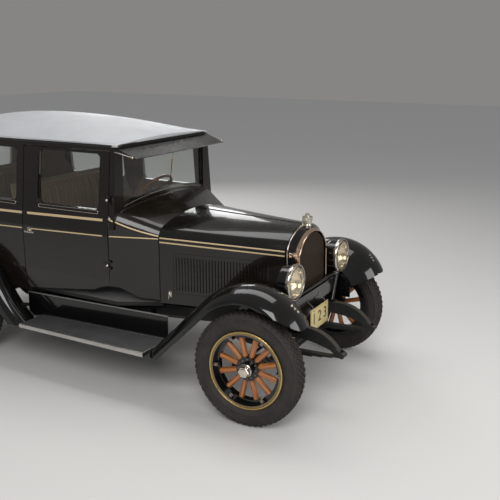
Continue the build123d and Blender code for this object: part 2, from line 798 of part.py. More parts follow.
for side_name, side in sides:
    seam_hinge = seam_line(side)
    own = 0 if side < 0 else 1
    with BuildPart() as hood_top:
        add(hood.part)
        split(bisect_by=seam.offset(hinge_gap / 2), keep=Keep.TOP)
        split(bisect_by=Plane.XZ.offset(-side * hinge_gap / 2), keep=Keep.BOTTOM if side > 0 else Keep.TOP)
        add(knuckles(middle_line, knuckle_radius + knuckle_gap, 1 - own), mode=Mode.SUBTRACT)
        add(knuckles(seam_hinge, knuckle_radius + knuckle_gap, 1), mode=Mode.SUBTRACT)
        add(knuckles(middle_line, knuckle_radius, own, knuckle_gap / 2))
        add(knuckles(seam_hinge, knuckle_radius, 0, knuckle_gap / 2))
        add(hinge_rod(seam_hinge, hinge_rod_radius))
        if own == 0:
            add(hinge_rod(middle_line, hinge_rod_radius))
        else:
            add(hinge_rod(middle_line, hinge_rod_radius + pin_clearance), mode=Mode.SUBTRACT)
    save(hood_top, f"hood_top_{side_name}")
    with BuildPart() as hood_side:
        add(hood.part)
        split(bisect_by=seam.offset(-hinge_gap / 2), keep=Keep.BOTTOM)
        split(bisect_by=Plane.XZ.offset(-side * hinge_gap / 2), keep=Keep.BOTTOM if side > 0 else Keep.TOP)
        # A bank of louvres inside a raised border
        with BuildSketch(side_plane(side).offset(-1)):
            with Locations((side * bank_reach, (louvre_low + louvre_high) / 2)):
                with GridLocations(bank_length / (louvre_count - 1), 0, louvre_count, 1):
                    Rectangle(louvre_width, bank_height)
        extrude(amount=louvre_rise + 1, taper=35)
        with BuildSketch(side_plane(side).offset(-1)):
            with Locations((side * bank_reach, (louvre_low + louvre_high) / 2)):
                RectangleRounded(bank_length + 2 * border_margin, bank_height + 2 * border_margin, 16)
                RectangleRounded(
                    bank_length + 2 * (border_margin - border_width),
                    bank_height + 2 * (border_margin - border_width),
                    16 - border_width,
                    mode=Mode.SUBTRACT,
                )
        extrude(amount=border_rise + 1)
        add(knuckles(seam_hinge, knuckle_radius + knuckle_gap, 0), mode=Mode.SUBTRACT)
        add(knuckles(seam_hinge, knuckle_radius, 1, knuckle_gap / 2))
        add(hinge_rod(seam_hinge, hinge_rod_radius + pin_clearance), mode=Mode.SUBTRACT)
    save(hood_side, f"hood_side_{side_name}")

# Radiator shell: from the bonnet's front edge in to the narrower rim round the core
with BuildPart() as radiator_shell:
    shell_stations = (
        # x, half, belt, top, shoulder
        (hood_front_x, *hood_size(hood_front_x)),
        (shell_front_x - 26, rim_half + 26, rim_belt + 22, rim_top + 24, 108),
        (shell_front_x, rim_half + 8, rim_belt + 4, rim_top + 8, 104),
    )
    for station in shell_stations:
        add(arch_section(*station, shell_bottom))
    loft(ruled=True)
    for x, half, belt, top, shoulder in shell_stations:
        reach = 20 if x == shell_front_x else -20 if x == hood_front_x else 0
        inset = shell_sheet + 2
        add(
            arch_section(
                x + reach, half - inset, belt, top - inset, shoulder - inset, shell_bottom + 60
            )
        )
    loft(ruled=True, mode=Mode.SUBTRACT)
    add(hood_ledge(hood_front_x - ledge_length, hood_front_x + 4))
    # Filler neck and its plain cap
    with Locations((cap_x, 0, hood_front_top - 30)):
        Cylinder(24, 62, align=(Align.CENTER, Align.CENTER, Align.MIN))
    with Locations((cap_x, 0, hood_front_top + 32)):
        Cylinder(37, 24, align=(Align.CENTER, Align.CENTER, Align.MIN))
        Cylinder(16, 44, align=(Align.CENTER, Align.CENTER, Align.MIN))
save(radiator_shell, "radiator_shell")


# Body walls. Plan outlines at four heights: half widths at the pillar, the door's rear edge and
# the quarter panel, and the place of the back
corner_radius = 150
back_seam_x = body_rear_x + 175
body_low_z = 585
body_back_z = 646
body_levels = (
    # z, half at pillar, half at door rear, half at quarter, back x
    (body_low_z, 602, 636, 640, body_rear_x + 38),
    (760, 626, 655, 661, body_rear_x + 8),
    (belt_z, 632, 662, 668, body_rear_x),
    (roof_z, 572, 602, 604, body_rear_x + 70),
)


def plan_outline(z, at_pillar, at_door, at_quarter, back_x, inset, reach):
    """Closed outline of the body in plan, narrower by inset all round, open to the front."""
    front = pillar_x + reach
    radius = corner_radius - inset
    left = at_quarter - inset
    back = back_x + inset
    bend = radius * (1 - cos(radians(45)))
    with BuildSketch(Plane.XY.offset(z)) as outline:
        with BuildLine():
            Polyline(
                (back + radius, -left),
                (door_rear_x, inset - at_door),
                (front, inset - at_pillar),
                (front, at_pillar - inset),
                (door_rear_x, at_door - inset),
                (back + radius, left),
            )
            ThreePointArc((back + radius, left), (back + bend, left - bend), (back, left - radius))
            Line((back, left - radius), (back, radius - left))
            ThreePointArc((back, radius - left), (back + bend, bend - left), (back + radius, -left))
        make_face()
    return outline.sketch


def body_shell(outer, inner):
    """Skin of the body between two insets from its outside, open in front, above and below."""
    with BuildPart() as skin:
        for level in body_levels:
            add(plan_outline(*level, outer, 0))
        loft(ruled=True)
        for number, level in enumerate(body_levels):
            lift = -20 if number == 0 else 20 if number == len(body_levels) - 1 else 0
            add(plan_outline(level[0] + lift, *level[1:], inner, 60))
        loft(ruled=True, mode=Mode.SUBTRACT)
    return skin.part


def side_block(rear, front, low, high, radius=0.0):
    """Block through both sides of the body, rounded at its corners in the side view."""
    with BuildPart() as block:
        with BuildSketch(Plane.XZ):
            with Locations(((rear + front) / 2, (low + high) / 2)):
                if radius:
                    RectangleRounded(front - rear, high - low, radius)
                else:
                    Rectangle(front - rear, high - low)
        extrude(amount=track, both=True)
    return block.part


# Lower edge of the body: it dips behind the pillar and runs down towards the back
sill_front = (pillar_x, 724)
sill_dip = (pillar_x - 75, 706)
sill_bend = (pillar_x - 165, 672)
sill_run = (pillar_x - 480, 632)
sill_rear = (door_rear_x, 594)


def below_sill():
    """Everything below the wavy lower edge, through both sides."""
    bottom = body_low_z - 60
    with BuildPart() as region:
        with BuildSketch(Plane.XZ):
            with BuildLine():
                Polyline((pillar_x + 20, bottom), (pillar_x + 20, sill_front[1]), sill_front)
                ThreePointArc(sill_front, sill_dip, sill_bend)
                ThreePointArc(sill_bend, sill_run, sill_rear)
                Polyline(sill_rear, (door_rear_x - 60, sill_rear[1]), (door_rear_x - 60, bottom))
                Line((door_rear_x - 60, bottom), (pillar_x + 20, bottom))
            make_face()
        extrude(amount=track, both=True)
    return region.part


door_front_x = pillar_x - panel_gap
door_back_x = door_rear_x + panel_gap
header_z = 1716
arch_radius = 462
glass_inset = 14
body_wall = body_shell(0, wall)
glass_wall = body_shell(glass_inset, glass_inset + glass_thickness)
door_window = (door_window_rear_x, door_window_front_x, window_bottom, window_top)
quarter_window = (quarter_window_rear_x, quarter_window_front_x, window_bottom, window_top)


def pane(window):
    """Glass that fills a side window with a small gap all round, on both sides."""
    rear, front, low, high = window
    with BuildPart() as glass:
        add(glass_wall)
        add(
            side_block(
                rear + seat_gap, front - seat_gap, low + seat_gap, high - seat_gap, window_radius - seat_gap
            ),
            mode=Mode.INTERSECT,
        )
    return glass.part


# Doors: hinged at the pillar, with two knuckle hinges and a lever handle
lower_hinge = (pillar_x, 640, 886)
upper_hinge = (pillar_x, 619, 1367)
hinge_pin_radius = 5
hinge_radius = 9
hinge_length = 30
handle_x = door_rear_x + 72
handle_z = 1064


def hinge_plane(point, side):
    """Plane square to the hinge axis at one hinge; local z runs up the axis."""
    along = (0, side * (upper_hinge[1] - lower_hinge[1]), upper_hinge[2] - lower_hinge[2])
    return Plane(origin=(point[0], side * point[1], point[2]), x_dir=(1, 0, 0), z_dir=along)


for side_name, side in sides:
    with BuildPart() as door:
        add(body_wall)
        add(side_block(door_back_x, door_front_x, body_low_z - 9, header_z - panel_gap), mode=Mode.INTERSECT)
        split(bisect_by=Plane.XZ, keep=Keep.BOTTOM if side > 0 else Keep.TOP)
        add(below_sill(), mode=Mode.SUBTRACT)
        add(side_block(*door_window, window_radius), mode=Mode.SUBTRACT)
        for point in (lower_hinge, upper_hinge):
            leaf_plane = hinge_plane(point, side)
            with BuildSketch(leaf_plane.offset(-hinge_length / 2)):
                Circle(hinge_radius)
                with Locations((-28, -side * 10)):
                    Rectangle(56, 12)
            extrude(amount=hinge_length)
            with BuildSketch(leaf_plane.offset(-hinge_length / 2)):
                Circle(hinge_pin_radius + pin_clearance)
            extrude(amount=hinge_length, mode=Mode.SUBTRACT)
        grip = (handle_x, side * 704, handle_z)
        add(strut((handle_x, side * 640, handle_z), grip, 9))
        add(strut(grip, (handle_x + 96, side * 700, handle_z), 8))
    save(door, f"door_{side_name}")
    with BuildPart() as door_glass:
        add(pane(door_window))
        split(bisect_by=Plane.XZ, keep=Keep.BOTTOM if side > 0 else Keep.TOP)
    save(door_glass, f"door_glass_{side_name}")

with BuildPart() as side_panels:
    add(body_wall)
    add(side_block(back_seam_x, pillar_x, body_low_z - 9, roof_z + 9), mode=Mode.INTERSECT)
    add(side_block(door_rear_x, pillar_x + 60, body_low_z - 60, header_z), mode=Mode.SUBTRACT)
    add(side_block(*quarter_window, window_radius), mode=Mode.SUBTRACT)
    with BuildSketch(Plane.XZ):
        with Locations((rear_x, tyre_radius)):
            Circle(arch_radius)
    extrude(amount=track, both=True, mode=Mode.SUBTRACT)
    add(side_block(body_rear_x, rear_x - 300, body_low_z - 60, body_back_z), mode=Mode.SUBTRACT)
save(side_panels, "side_panels")

back_window = (2 * back_window_half, back_window_top - back_window_bottom)
with BuildPart() as back_panel:
    add(body_wall)
    add(side_block(body_rear_x - 60, back_seam_x - seat_gap, body_back_z, roof_z + 9), mode=Mode.INTERSECT)
    with BuildSketch(Plane.YZ.offset(body_rear_x - 50)):
        with Locations((0, (back_window_bottom + back_window_top) / 2)):
            RectangleRounded(*back_window, 40)
    extrude(amount=300, mode=Mode.SUBTRACT)
save(back_panel, "back_panel")

# Roof: a shallow dome on straight edges, hollow below
roof_low = roof_z + seat_gap
roof_edge_height = 14
roof_sheet = 24
roof_stations = (
    # x, half width, crown above the edge
    (pillar_x + 60, 572, 36),
    (pillar_x - 230, 604, 110),
    (pillar_x - 700, 610, 160),
    (pillar_x - 1550, 610, 152),
    (body_rear_x + 40, 606, 40),
)


def roof_section(x, half, crown, low):
    with BuildSketch(Plane(origin=(x, 0, 0), x_dir=(0, 1, 0), z_dir=(1, 0, 0))) as section:
        with BuildLine():
            Polyline(
                (-half, low + roof_edge_height),
                (-half, low),
                (half, low),
                (half, low + roof_edge_height),
            )
            ThreePointArc(
                (half, low + roof_edge_height), (0, low + crown), (-half, low + roof_edge_height)
            )
        make_face()
    return section.sketch


with BuildPart() as roof:
    for station in roof_stations:
        add(roof_section(*station, roof_low))
    loft()
    with BuildPart(mode=Mode.INTERSECT):
        add(plan_outline(*body_levels[-1], 0, 50))
        extrude(amount=300)
    with BuildPart(mode=Mode.SUBTRACT):
        for number, (x, half, crown) in enumerate(roof_stations):
            reach = -30 if number == 0 else 30 if number == len(roof_stations) - 1 else 0
            add(roof_section(x + reach, half - wall, max(crown - roof_sheet, 18), roof_low - 1))
        loft()
save(roof, "roof")

# Cowl: flares from the bonnet to the door pillars; carries pillars, header, dashboard and column
cowl_front_x = hood_rear_x - panel_gap / 2
cowl_half = 629
cowl_belt = 1200
cowl_top = 1362
cowl_shoulder = 110
cowl_bottom = 600
cowl_wall = 8
pillar_depth = 50
pillar_inner_y = 505
header_height = 44
column_radius = 16
shaft_radius = 10
rake = 40
wheel_centre = (front_x - 1620, 360, 1210)
rim_radius = 215


def cowl_size(x, inset=0.0):
    share = (x - cowl_front_x) / (pillar_x - cowl_front_x)
    start = hood_size(cowl_front_x)
    end = (cowl_half, cowl_belt, cowl_top, cowl_shoulder)
    half, belt, top, shoulder = (a + share * (b - a) for a, b in zip(start, end))
    return half - inset, belt, top - inset, shoulder - inset


def pillar_half(z):
    """Half width of the body at the door pillar."""
    return 632 - 60 * (z - belt_z) / (roof_z - belt_z)


column_axis = Plane(
    origin=wheel_centre,
    x_dir=(0, 1, 0),
    z_dir=(-cos(radians(rake)), 0, sin(radians(rake))),
)

with BuildPart() as cowl:
    add(arch_section(cowl_front_x, *cowl_size(cowl_front_x), cowl_bottom))
    add(arch_section(pillar_x, *cowl_size(pillar_x), cowl_bottom))
    loft()
    with BuildPart(mode=Mode.SUBTRACT):
        for x in (cowl_front_x - cowl_wall, pillar_x - 30):
            add(arch_section(x, *cowl_size(x, cowl_wall), cowl_bottom - 20))
        loft()
    add(hood_ledge(cowl_front_x - 4, cowl_front_x + ledge_length))
    # Lower edge rises towards the door
    with BuildPart(mode=Mode.SUBTRACT):
        with BuildSketch(Plane.XZ):
            with BuildLine():
                Polyline(
                    (pillar_x - 10, cowl_bottom - 30),
                    (pillar_x - 10, 724),
                    (pillar_x + 60, 716),
                    (pillar_x + 190, 640),
                    (cowl_front_x + 10, 618),
                    (cowl_front_x + 10, cowl_bottom - 30),
                    close=True,
                )
            make_face()
        extrude(amount=track, both=True)
    # Pillars and header round the windscreen
    for side_name, side in sides:
        with BuildPart():
            for z in (1150, roof_z - 0.2):
                outer = pillar_half(z)
                with BuildSketch(Plane.XY.offset(z)):
                    with Locations((pillar_x + pillar_depth / 2, side * (outer + pillar_inner_y) / 2)):
                        Rectangle(pillar_depth, outer - pillar_inner_y)
            loft(ruled=True)
    with Locations((pillar_x + pillar_depth / 2, 0, roof_z - 0.2 - header_height / 2)):
        Box(pillar_depth, 2 * pillar_inner_y + 20, header_height)
    # Pillar leaves of the door hinges, with their pins
    for side_name, side in sides:
        for point in (lower_hinge, upper_hinge):
            leaf_plane = hinge_plane(point, side)
            for low in (-hinge_length / 2 - 17, hinge_length / 2 + 2):
                with BuildSketch(leaf_plane.offset(low)):
                    Circle(hinge_radius)
                    with Locations((11, -side * 12)):
                        Rectangle(22, 26)
                extrude(amount=15)
            with BuildSketch(leaf_plane.offset(-hinge_length / 2 - 10)):
                Circle(hinge_pin_radius)
            extrude(amount=hinge_length + 20)
    # Dashboard
    with BuildPart():
        with Locations((pillar_x + 20, 0, 1180)):
            Box(18, 2 * cowl_half, 220)
        with BuildPart(mode=Mode.INTERSECT):
            for x in (pillar_x - 10, pillar_x + 60):
                add(arch_section(x, *cowl_size(x, cowl_wall / 2), cowl_bottom))
            loft()
    # Steering column with its shaft
    with BuildPart() as column:
        with BuildSketch(column_axis.offset(-40)):
            Circle(column_radius)
        extrude(amount=-900)
        with BuildSketch(column_axis.offset(-60)):
            Circle(shaft_radius)
        extrude(amount=90)
        split(bisect_by=Plane.YZ.offset(cowl_front_x - cowl_wall / 2), keep=Keep.BOTTOM)
save(cowl, "cowl")

# Steering wheel: wooden rim, four spokes and a hub on the column's shaft
with BuildPart() as steering_wheel:
    with BuildSketch(Plane.XZ):
        with Locations((rim_radius, 0)):
            Circle(13)
    revolve(axis=Axis.Z)
    with PolarLocations(0, 4, start_angle=45):
        with Locations((rim_radius / 2, 0, -6)):
            Box(rim_radius, 22, 6)
    Cylinder(30, 36)
    Cylinder(shaft_radius + pin_clearance, 200, mode=Mode.SUBTRACT)
steering_wheel.part = column_axis * steering_wheel.part
save(steering_wheel, "steering_wheel")

# Fixed glass: windscreen, quarter windows and rear window
windscreen_middle_z = 1500
windscreen_height = 2 * (roof_z - header_height - seat_gap - windscreen_middle_z)
with BuildPart() as fixed_glass:
    with BuildPart():
        with Locations((pillar_x + pillar_depth / 2, 0, windscreen_middle_z)):
            Box(glass_thickness, 2 * (pillar_inner_y - seat_gap), windscreen_height)
        with BuildPart(mode=Mode.SUBTRACT):
            for x in (pillar_x - 20, pillar_x + 80):
                add(arch_section(x, *cowl_size(x, -seat_gap), cowl_bottom))
            loft()
    add(pane(quarter_window))
    with BuildPart():
        add(glass_wall)
        with BuildPart(mode=Mode.INTERSECT):
            with BuildSketch(Plane.YZ.offset(body_rear_x - 50)):
                with Locations((0, (back_window_bottom + back_window_top) / 2)):
                    RectangleRounded(back_window[0] - 2 * seat_gap, back_window[1] - 2 * seat_gap, 40)
            extrude(amount=300)
save(fixed_glass, "fixed_glass")

# Sun visor: a thin board over the windscreen with a rod at each end
visor_drop = 78
visor_reach = 165
with BuildPart() as sun_visor:
    with BuildSketch(Plane.XZ):
        with BuildLine():
            Polyline(
                (pillar_x + pillar_depth + seat_gap, roof_z - 6),
                (pillar_x + pillar_depth + seat_gap, roof_z - 16),
                (pillar_x + pillar_depth + visor_reach, roof_z - visor_drop),
                (pillar_x + pillar_depth + visor_reach + 8, roof_z - visor_drop + 6),
                close=True,
            )
        make_face()
    extrude(amount=566, both=True)
save(sun_visor, "sun_visor")

# Floor: a slab on the rails, raised behind the doors, with wheelhouses and the toe board
floor_half = 560
raised_front_x = rear_x + 445
raised_low = rail_top + kick_up + seat_gap
raised_high = raised_low + 20
with BuildPart() as body_floor:
    with BuildSketch(Plane.XY.offset(rail_top + seat_gap)):
        with BuildLine():
            Polyline(
                (cowl_front_x - 12, -(rail_front_y + 130)),
                (cowl_front_x - 12, rail_front_y + 130),
                (pillar_x, floor_half),
                (door_rear_x, floor_half),
                (door_rear_x, 601),
                (raised_front_x, 603),
                (raised_front_x, -603),
                (door_rear_x, -601),
                (door_rear_x, -floor_half),
                (pillar_x, -floor_half),
                close=True,
            )
        make_face()
    extrude(amount=floor_z - rail_top - seat_gap)
    # Riser and raised floor over the axle
    with Locations((raised_front_x, 0, rail_top + seat_gap)):
        Box(
            20,
            2 * floor_half + 52,
            raised_high - rail_top - seat_gap,
            align=(Align.MIN, Align.CENTER, Align.MIN),
        )
    with BuildPart():
        add(side_block(body_rear_x, raised_front_x + 10, raised_low, raised_high))
        with BuildPart(mode=Mode.INTERSECT):
            for level in body_levels:
                add(plan_outline(*level, wall + seat_gap, 0))
            loft(ruled=True)
    # Wheelhouses
    for side_name, side in sides:
        for radius, low, high in ((arch_radius - seat_gap, 585, 593), (arch_radius - seat_gap, 593, 632)):
            with BuildPart():
                with BuildSketch(Plane.XZ.offset(-side * low)):
                    with Locations((rear_x, tyre_radius)):
                        Circle(radius)
                        if high > 600:
                            Circle(radius - 12, mode=Mode.SUBTRACT)
                extrude(amount=-side * (high - low))
                split(bisect_by=Plane.XY.offset(raised_low), keep=Keep.TOP)
save(body_floor, "body_floor")

# Seats: a cushion on its base and a leaning back, rounded where they are sat on
def bench(front, rear, half, low, high, back_high, lean):
    with BuildPart() as seat:
        with BuildSketch(Plane.XZ):
            with Locations(((front + rear) / 2, (low + high) / 2)):
                Rectangle(front - rear, high - low)
        extrude(amount=half, both=True)
        fillet(seat.edges().filter_by(Axis.Y).group_by(Axis.Z)[-1], 45)
        with BuildPart() as back:
            with BuildSketch(Plane.XZ):
                with BuildLine():
                    Polyline(
                        (rear + 90, low + 60),
                        (rear - 10, low + 60),
                        (rear - 10 - lean, back_high),
                        (rear + 90 - lean, back_high),
                        close=True,
                    )
                make_face()
            extrude(amount=half, both=True)
            fillet(back.edges().filter_by(Axis.Y).group_by(Axis.Z)[-1], 40)
    return seat.part


with BuildPart() as front_seat:
    add(bench(front_x - 1750, front_x - 2215, 540, floor_z + seat_gap, 960, 1400, 90))
save(front_seat, "front_seat")

with BuildPart() as rear_seat:
    add(bench(front_x - 2640, front_x - 3120, 555, raised_high + seat_gap, 1000, 1400, 70))
save(rear_seat, "rear_seat")

# Fenders: a thin sheet with a turned-down outer lip, swept along lines and arcs
crown_y = 680
inner_y = 420
lip_drop = 96
inner_drop = 160
front_slope = 44
front_tip_angle = 24
lip_rise_angle = 69
big_centre = (front_arc_x, 430)
small_centre = (front_arc_x, front_arc_z)


def sheet_profile(plane, crown, valance, inner):
    """Section of a fender's sheet: outer lip, crown, valance and a short inner foot."""
    with BuildSketch(plane) as profile:
        with BuildLine():
            Line((fender_outer_y, -lip_drop), (fender_outer_y - 6, 30 - lip_drop))
            TangentArc((crown, 0), (fender_outer_y - 6, 30 - lip_drop), tangent=(1, 0))
            TangentArc((crown, 0), valance, tangent=(-1, 0))
            Line(valance, inner)
            Line(inner, (inner[0], inner[1] - 26))
            offset(amount=fender_sheet, side=Side.LEFT)
        make_face()
    return profile.sketch


def on_circle(centre, radius, angle):
    return centre[0] + radius * cos(radians(angle)), centre[1] + radius * sin(radians(angle))


front_start = on_circle(big_centre, rear_part_arc_radius, 90 + front_slope)
front_foot_z = board_top + 1
front_foot = (front_start[0] - (front_start[1] - front_foot_z) / tan(radians(front_slope)), front_foot_z)
apron_inset = inner_drop + 16
ledge_z = rail_top + seat_gap
tail_low = on_circle(big_centre, rear_part_arc_radius - apron_inset, 90 + front_slope)
tip_low = on_circle(small_centre, front_arc_radius - apron_inset, front_tip_angle)
ledge_front_x = front_x + 110
ledge_rear_x = tail_low[0] - (tail_low[1] - ledge_z) / tan(radians(front_slope))

with BuildPart() as front_fender:
    with BuildLine(Plane.XZ) as front_path:
        Line(front_foot, front_start)
        CenterArc(big_centre, rear_part_arc_radius, 90 + front_slope, -front_slope)
        CenterArc(small_centre, front_arc_radius, 90, front_tip_angle - 90)
    front_end = Plane(
        origin=(front_foot[0], 0, front_foot[1]),
        x_dir=(0, 1, 0),
        z_dir=(cos(radians(front_slope)), 0, sin(radians(front_slope))),
    )
    add(sheet_profile(front_end, crown_y, (500, -76), (inner_y, -inner_drop)))
    sweep(path=front_path.line)
    # Inner apron down to the frame
    with BuildSketch(Plane.XZ.offset(-inner_y)):
        with BuildLine():
            Line((ledge_rear_x, ledge_z), tail_low)
            CenterArc(big_centre, rear_part_arc_radius - apron_inset, 90 + front_slope, -front_slope)
            CenterArc(small_centre, front_arc_radius - apron_inset, 90, front_tip_angle - 90)
            Polyline(tip_low, (tip_low[0], ledge_z), (ledge_rear_x, ledge_z))
        make_face()
    extrude(amount=fender_sheet)
    # Ledge from the apron to the rail
    with BuildSketch(Plane.XY.offset(ledge_z)):
        with Locations(((ledge_front_x + ledge_rear_x) / 2, (rail_front_y - 12 + inner_y) / 2)):
            Rectangle(ledge_front_x - ledge_rear_x, inner_y - rail_front_y + 12)
    extrude(amount=fender_sheet)
    # The outer lip runs out towards the tip
    with BuildPart(mode=Mode.SUBTRACT):
        lip_start = on_circle(small_centre, front_arc_radius - lip_drop - 1, lip_rise_angle)
        lip_end = on_circle(small_centre, front_arc_radius - 2, front_tip_angle)
        lip_middle = (front_x + 303, 769)
        with BuildSketch(Plane.XZ.offset(60 - crown_y)):
            with BuildLine():
                ThreePointArc(lip_start, lip_middle, lip_end)
                Polyline(
                    lip_end,
                    (lip_end[0] + 60, lip_end[1] - 30),
                    (lip_end[0] + 60, tyre_radius),
                    (lip_start[0], tyre_radius),
                    lip_start,
                )
            make_face()
        extrude(amount=-250)
    # Nothing hangs inside the board's apron below the ledge, nor below the board
    with BuildPart(mode=Mode.SUBTRACT):
        with Locations((front_x - 400, 265, ledge_z)):
            Box(1500, 530, 400, align=(Align.CENTER, Align.CENTER, Align.MAX))
        with Locations((front_foot[0], 600, board_top - board_thickness)):
            Box(400, 600, 200, align=(Align.CENTER, Align.CENTER, Align.MAX))
with BuildPart() as front_fenders:
    add(front_fender.part)
    add(front_fender.part.mirror(Plane.XZ))
save(front_fenders, "front_fenders")

rear_centre = (rear_x + 20, 400)
rear_arc_radius = 520
flare_angle = 30
rear_tip_angle = 182
flare_start = on_circle(rear_centre, rear_arc_radius, flare_angle)
with BuildPart() as rear_fender:
    with BuildLine(Plane.XZ) as rear_path:
        TangentArc(
            flare_start,
            (board_rear_x, board_top),
            tangent=(sin(radians(flare_angle)), -cos(radians(flare_angle))),
        )
        CenterArc(rear_centre, rear_arc_radius, flare_angle, rear_tip_angle - flare_angle)
    tip = on_circle(rear_centre, rear_arc_radius, rear_tip_angle)
    rear_end = Plane(
        origin=(tip[0], 0, tip[1]),
        x_dir=(0, 1, 0),
        z_dir=(sin(radians(rear_tip_angle)), 0, -cos(radians(rear_tip_angle))),
    )
    add(sheet_profile(rear_end, 750, (690, -16), (620, -60)))
    sweep(path=rear_path.line)
    with BuildPart(mode=Mode.SUBTRACT):
        for level in body_levels:
            add(plan_outline(*level, -seat_gap, 0))
        loft(ruled=True)
    with BuildPart(mode=Mode.SUBTRACT):
        with Locations((board_rear_x, 600, board_top - board_thickness)):
            Box(400, 600, 200, align=(Align.CENTER, Align.CENTER, Align.MAX))
with BuildPart() as rear_fenders:
    add(rear_fender.part)
    add(rear_fender.part.mirror(Plane.XZ))
save(rear_fenders, "rear_fenders")

# Running boards with their aprons and the brackets from the rails
apron_rear = (front_x - 2100, 600)
apron_front = (board_front_x - 4, 534)
bracket_x = (front_x - 1000, front_x - 1430, front_x - 1860)
bracket_width = 36
board_low = board_top - board_thickness
with BuildPart() as running_board:
    with BuildSketch(Plane.XY.offset(board_low)):
        with BuildLine():
            Polyline(
                (board_rear_x, board_outer_y),
                (board_front_x, board_outer_y),
                (board_front_x, apron_front[1]),
                (board_rear_x, apron_rear[1] - 6),
                close=True,
            )
        make_face()
    extrude(amount=board_thickness)
    with BuildSketch(Plane.XY.offset(board_low)):
        with BuildLine():
            Polyline(
                apron_rear,
                apron_front,
                (apron_front[0], apron_front[1] + fender_sheet),
                (apron_rear[0], apron_rear[1] + fender_sheet),
                close=True,
            )
        make_face()
    extrude(amount=apron_top - board_low)
    add(strut((*apron_rear, apron_top), (*apron_front, apron_top), 6))
    for x in bracket_x:
        share = min(max((taper_x - x) / (taper_x - rail_straight_x), 0), 1)
        rail_face = rail_front_y + share * (rail_rear_y - rail_front_y) + rail_width / 2 + 5
        with Locations((x, rail_face, board_low)):
            Box(bracket_width, 8, 180, align=(Align.CENTER, Align.MIN, Align.MIN))
            Box(bracket_width, 800 - rail_face, 10, align=(Align.CENTER, Align.MIN, Align.MAX))
with BuildPart() as running_boards:
    add(running_board.part)
    add(running_board.part.mirror(Plane.XZ))
save(running_boards, "running_boards")

# Headlamps on posts from the rails, joined by the tie bar and a cross panel
post_x = front_x + 146
lamp_skin = 4
lamp_neck = lamp_radius - 8
with BuildPart() as lamp_bowl:
    with BuildSketch(Plane.XZ):
        with BuildLine():
            Polyline(
                (0, lamp_radius),
                (0, lamp_radius + 5),
                (-24, lamp_radius + 5),
                (-24, lamp_radius - 6),
                (-lamp_barrel, lamp_neck),
            )
            CenterArc((-lamp_barrel, lamp_neck - lamp_bend), lamp_bend, 90, 90)
            Line((-lamp_barrel - lamp_bend, lamp_neck - lamp_bend), (-lamp_depth, 0))
            Line((-lamp_depth, 0), (lamp_skin - lamp_depth, 0))
            Line((lamp_skin - lamp_depth, 0), (lamp_skin - lamp_barrel - lamp_bend, lamp_neck - lamp_bend))
            CenterArc((-lamp_barrel, lamp_neck - lamp_bend), lamp_bend - lamp_skin, 180, -90)
            Polyline(
                (-lamp_barrel, lamp_neck - lamp_skin),
                (-20, lamp_radius - 12),
                (-12, lamp_radius - 12),
                (-12, lamp_radius),
                (0, lamp_radius),
            )
        make_face()
    revolve(axis=Axis.X)
lens_radius = lamp_radius - seat_gap
with BuildPart() as lens:
    with BuildSketch(Plane.YZ.offset(-12 + seat_gap)):
        Circle(lens_radius)
    extrude(amount=8)
    with BuildSketch(Plane.YZ.offset(-4 + seat_gap)):
        Circle(lens_radius)
    extrude(amount=10, taper=60)
with BuildPart() as headlamps:
    for side_name, side in sides:
        add(Pos(lamp_x, side * lamp_y, lamp_z) * lamp_bowl.part)
        knee = (post_x, side * lamp_y, tie_bar_z)
        foot = (post_x, side * (rail_front_y + 4), ledge_z + 8)
        add(strut((post_x, side * lamp_y, lamp_z - lamp_radius + 14), knee, 15))
        add(strut(knee, foot, 13))
        with Locations((post_x, side * (rail_front_y + 2), ledge_z)):
            Box(50, rail_width - 5, 14, align=(Align.CENTER, Align.CENTER, Align.MIN))
        with Locations(knee):
            Sphere(20)
    add(strut((post_x, -lamp_y, tie_bar_z), (post_x, lamp_y, tie_bar_z), 10))
    with Locations((post_x, 0, 690)):
        Box(8, 2 * (lamp_y - 26), 100)
save(headlamps, "headlamps")

with BuildPart() as headlamp_lenses:
    for side_name, side in sides:
        add(Pos(lamp_x, side * lamp_y, lamp_z) * lens.part)
save(headlamp_lenses, "headlamp_lenses")

# Radiator core behind the arched rim
with BuildPart() as radiator_core:
    core_size = (rim_half - seat_gap, rim_belt + 4, rim_top - seat_gap, 96)
    core_low = shell_bottom + 60 + seat_gap
    add(arch_section(shell_front_x - 78, *core_size, core_low))
    extrude(amount=66, dir=(1, 0, 0))
save(radiator_core, "radiator_core")

# Spare wheel on its carrier behind the body
spare_x = rear_x - rear_overhang + tyre_width / 2
spare_z = 810
tail_lamp_z = 764
tail_lamp_radius = 38
spare_plane = Plane(origin=(spare_x, 0, spare_z), x_dir=(0, 1, 0), z_dir=(-1, 0, 0))
with BuildPart() as spare_tyre:
    add(spare_plane * tyre_solid())
save(spare_tyre, "spare_tyre")

with BuildPart() as spare_rim:
    add(demountable_rim())
    Cylinder(62, 26)
    with BuildSketch(Plane.XY.offset(-5)):
        with PolarLocations(felloe_radius / 2, 3, start_angle=30):
            Rectangle(felloe_radius + 4, 44)
    extrude(amount=10)
with BuildPart() as spare_carrier:
    add(spare_plane * spare_rim.part)
    # Cross bar on the rails' ends, two stays to the hub and the tail lamp's post
    bar_x = rail_end_x - seat_gap - 15
    bar_z = rail_top + kick_up - 30
    with Locations((bar_x, 0, bar_z)):
        Box(30, 2 * rail_rear_y + rail_width, 40)
    for side_name, side in sides:
        add(strut((bar_x, side * 74, bar_z), (spare_x + 2, side * 22, spare_z - 4), 16))
    with Locations((bar_x, -rail_rear_y - 10, bar_z)):
        Box(16, 20, tail_lamp_z - bar_z, align=(Align.CENTER, Align.CENTER, Align.MIN))
    lamp_y_out = rail_rear_y + 40
    add(
        strut(
            (bar_x + 12, -lamp_y_out, tail_lamp_z), (bar_x - 52, -lamp_y_out, tail_lamp_z), tail_lamp_radius
        )
    )
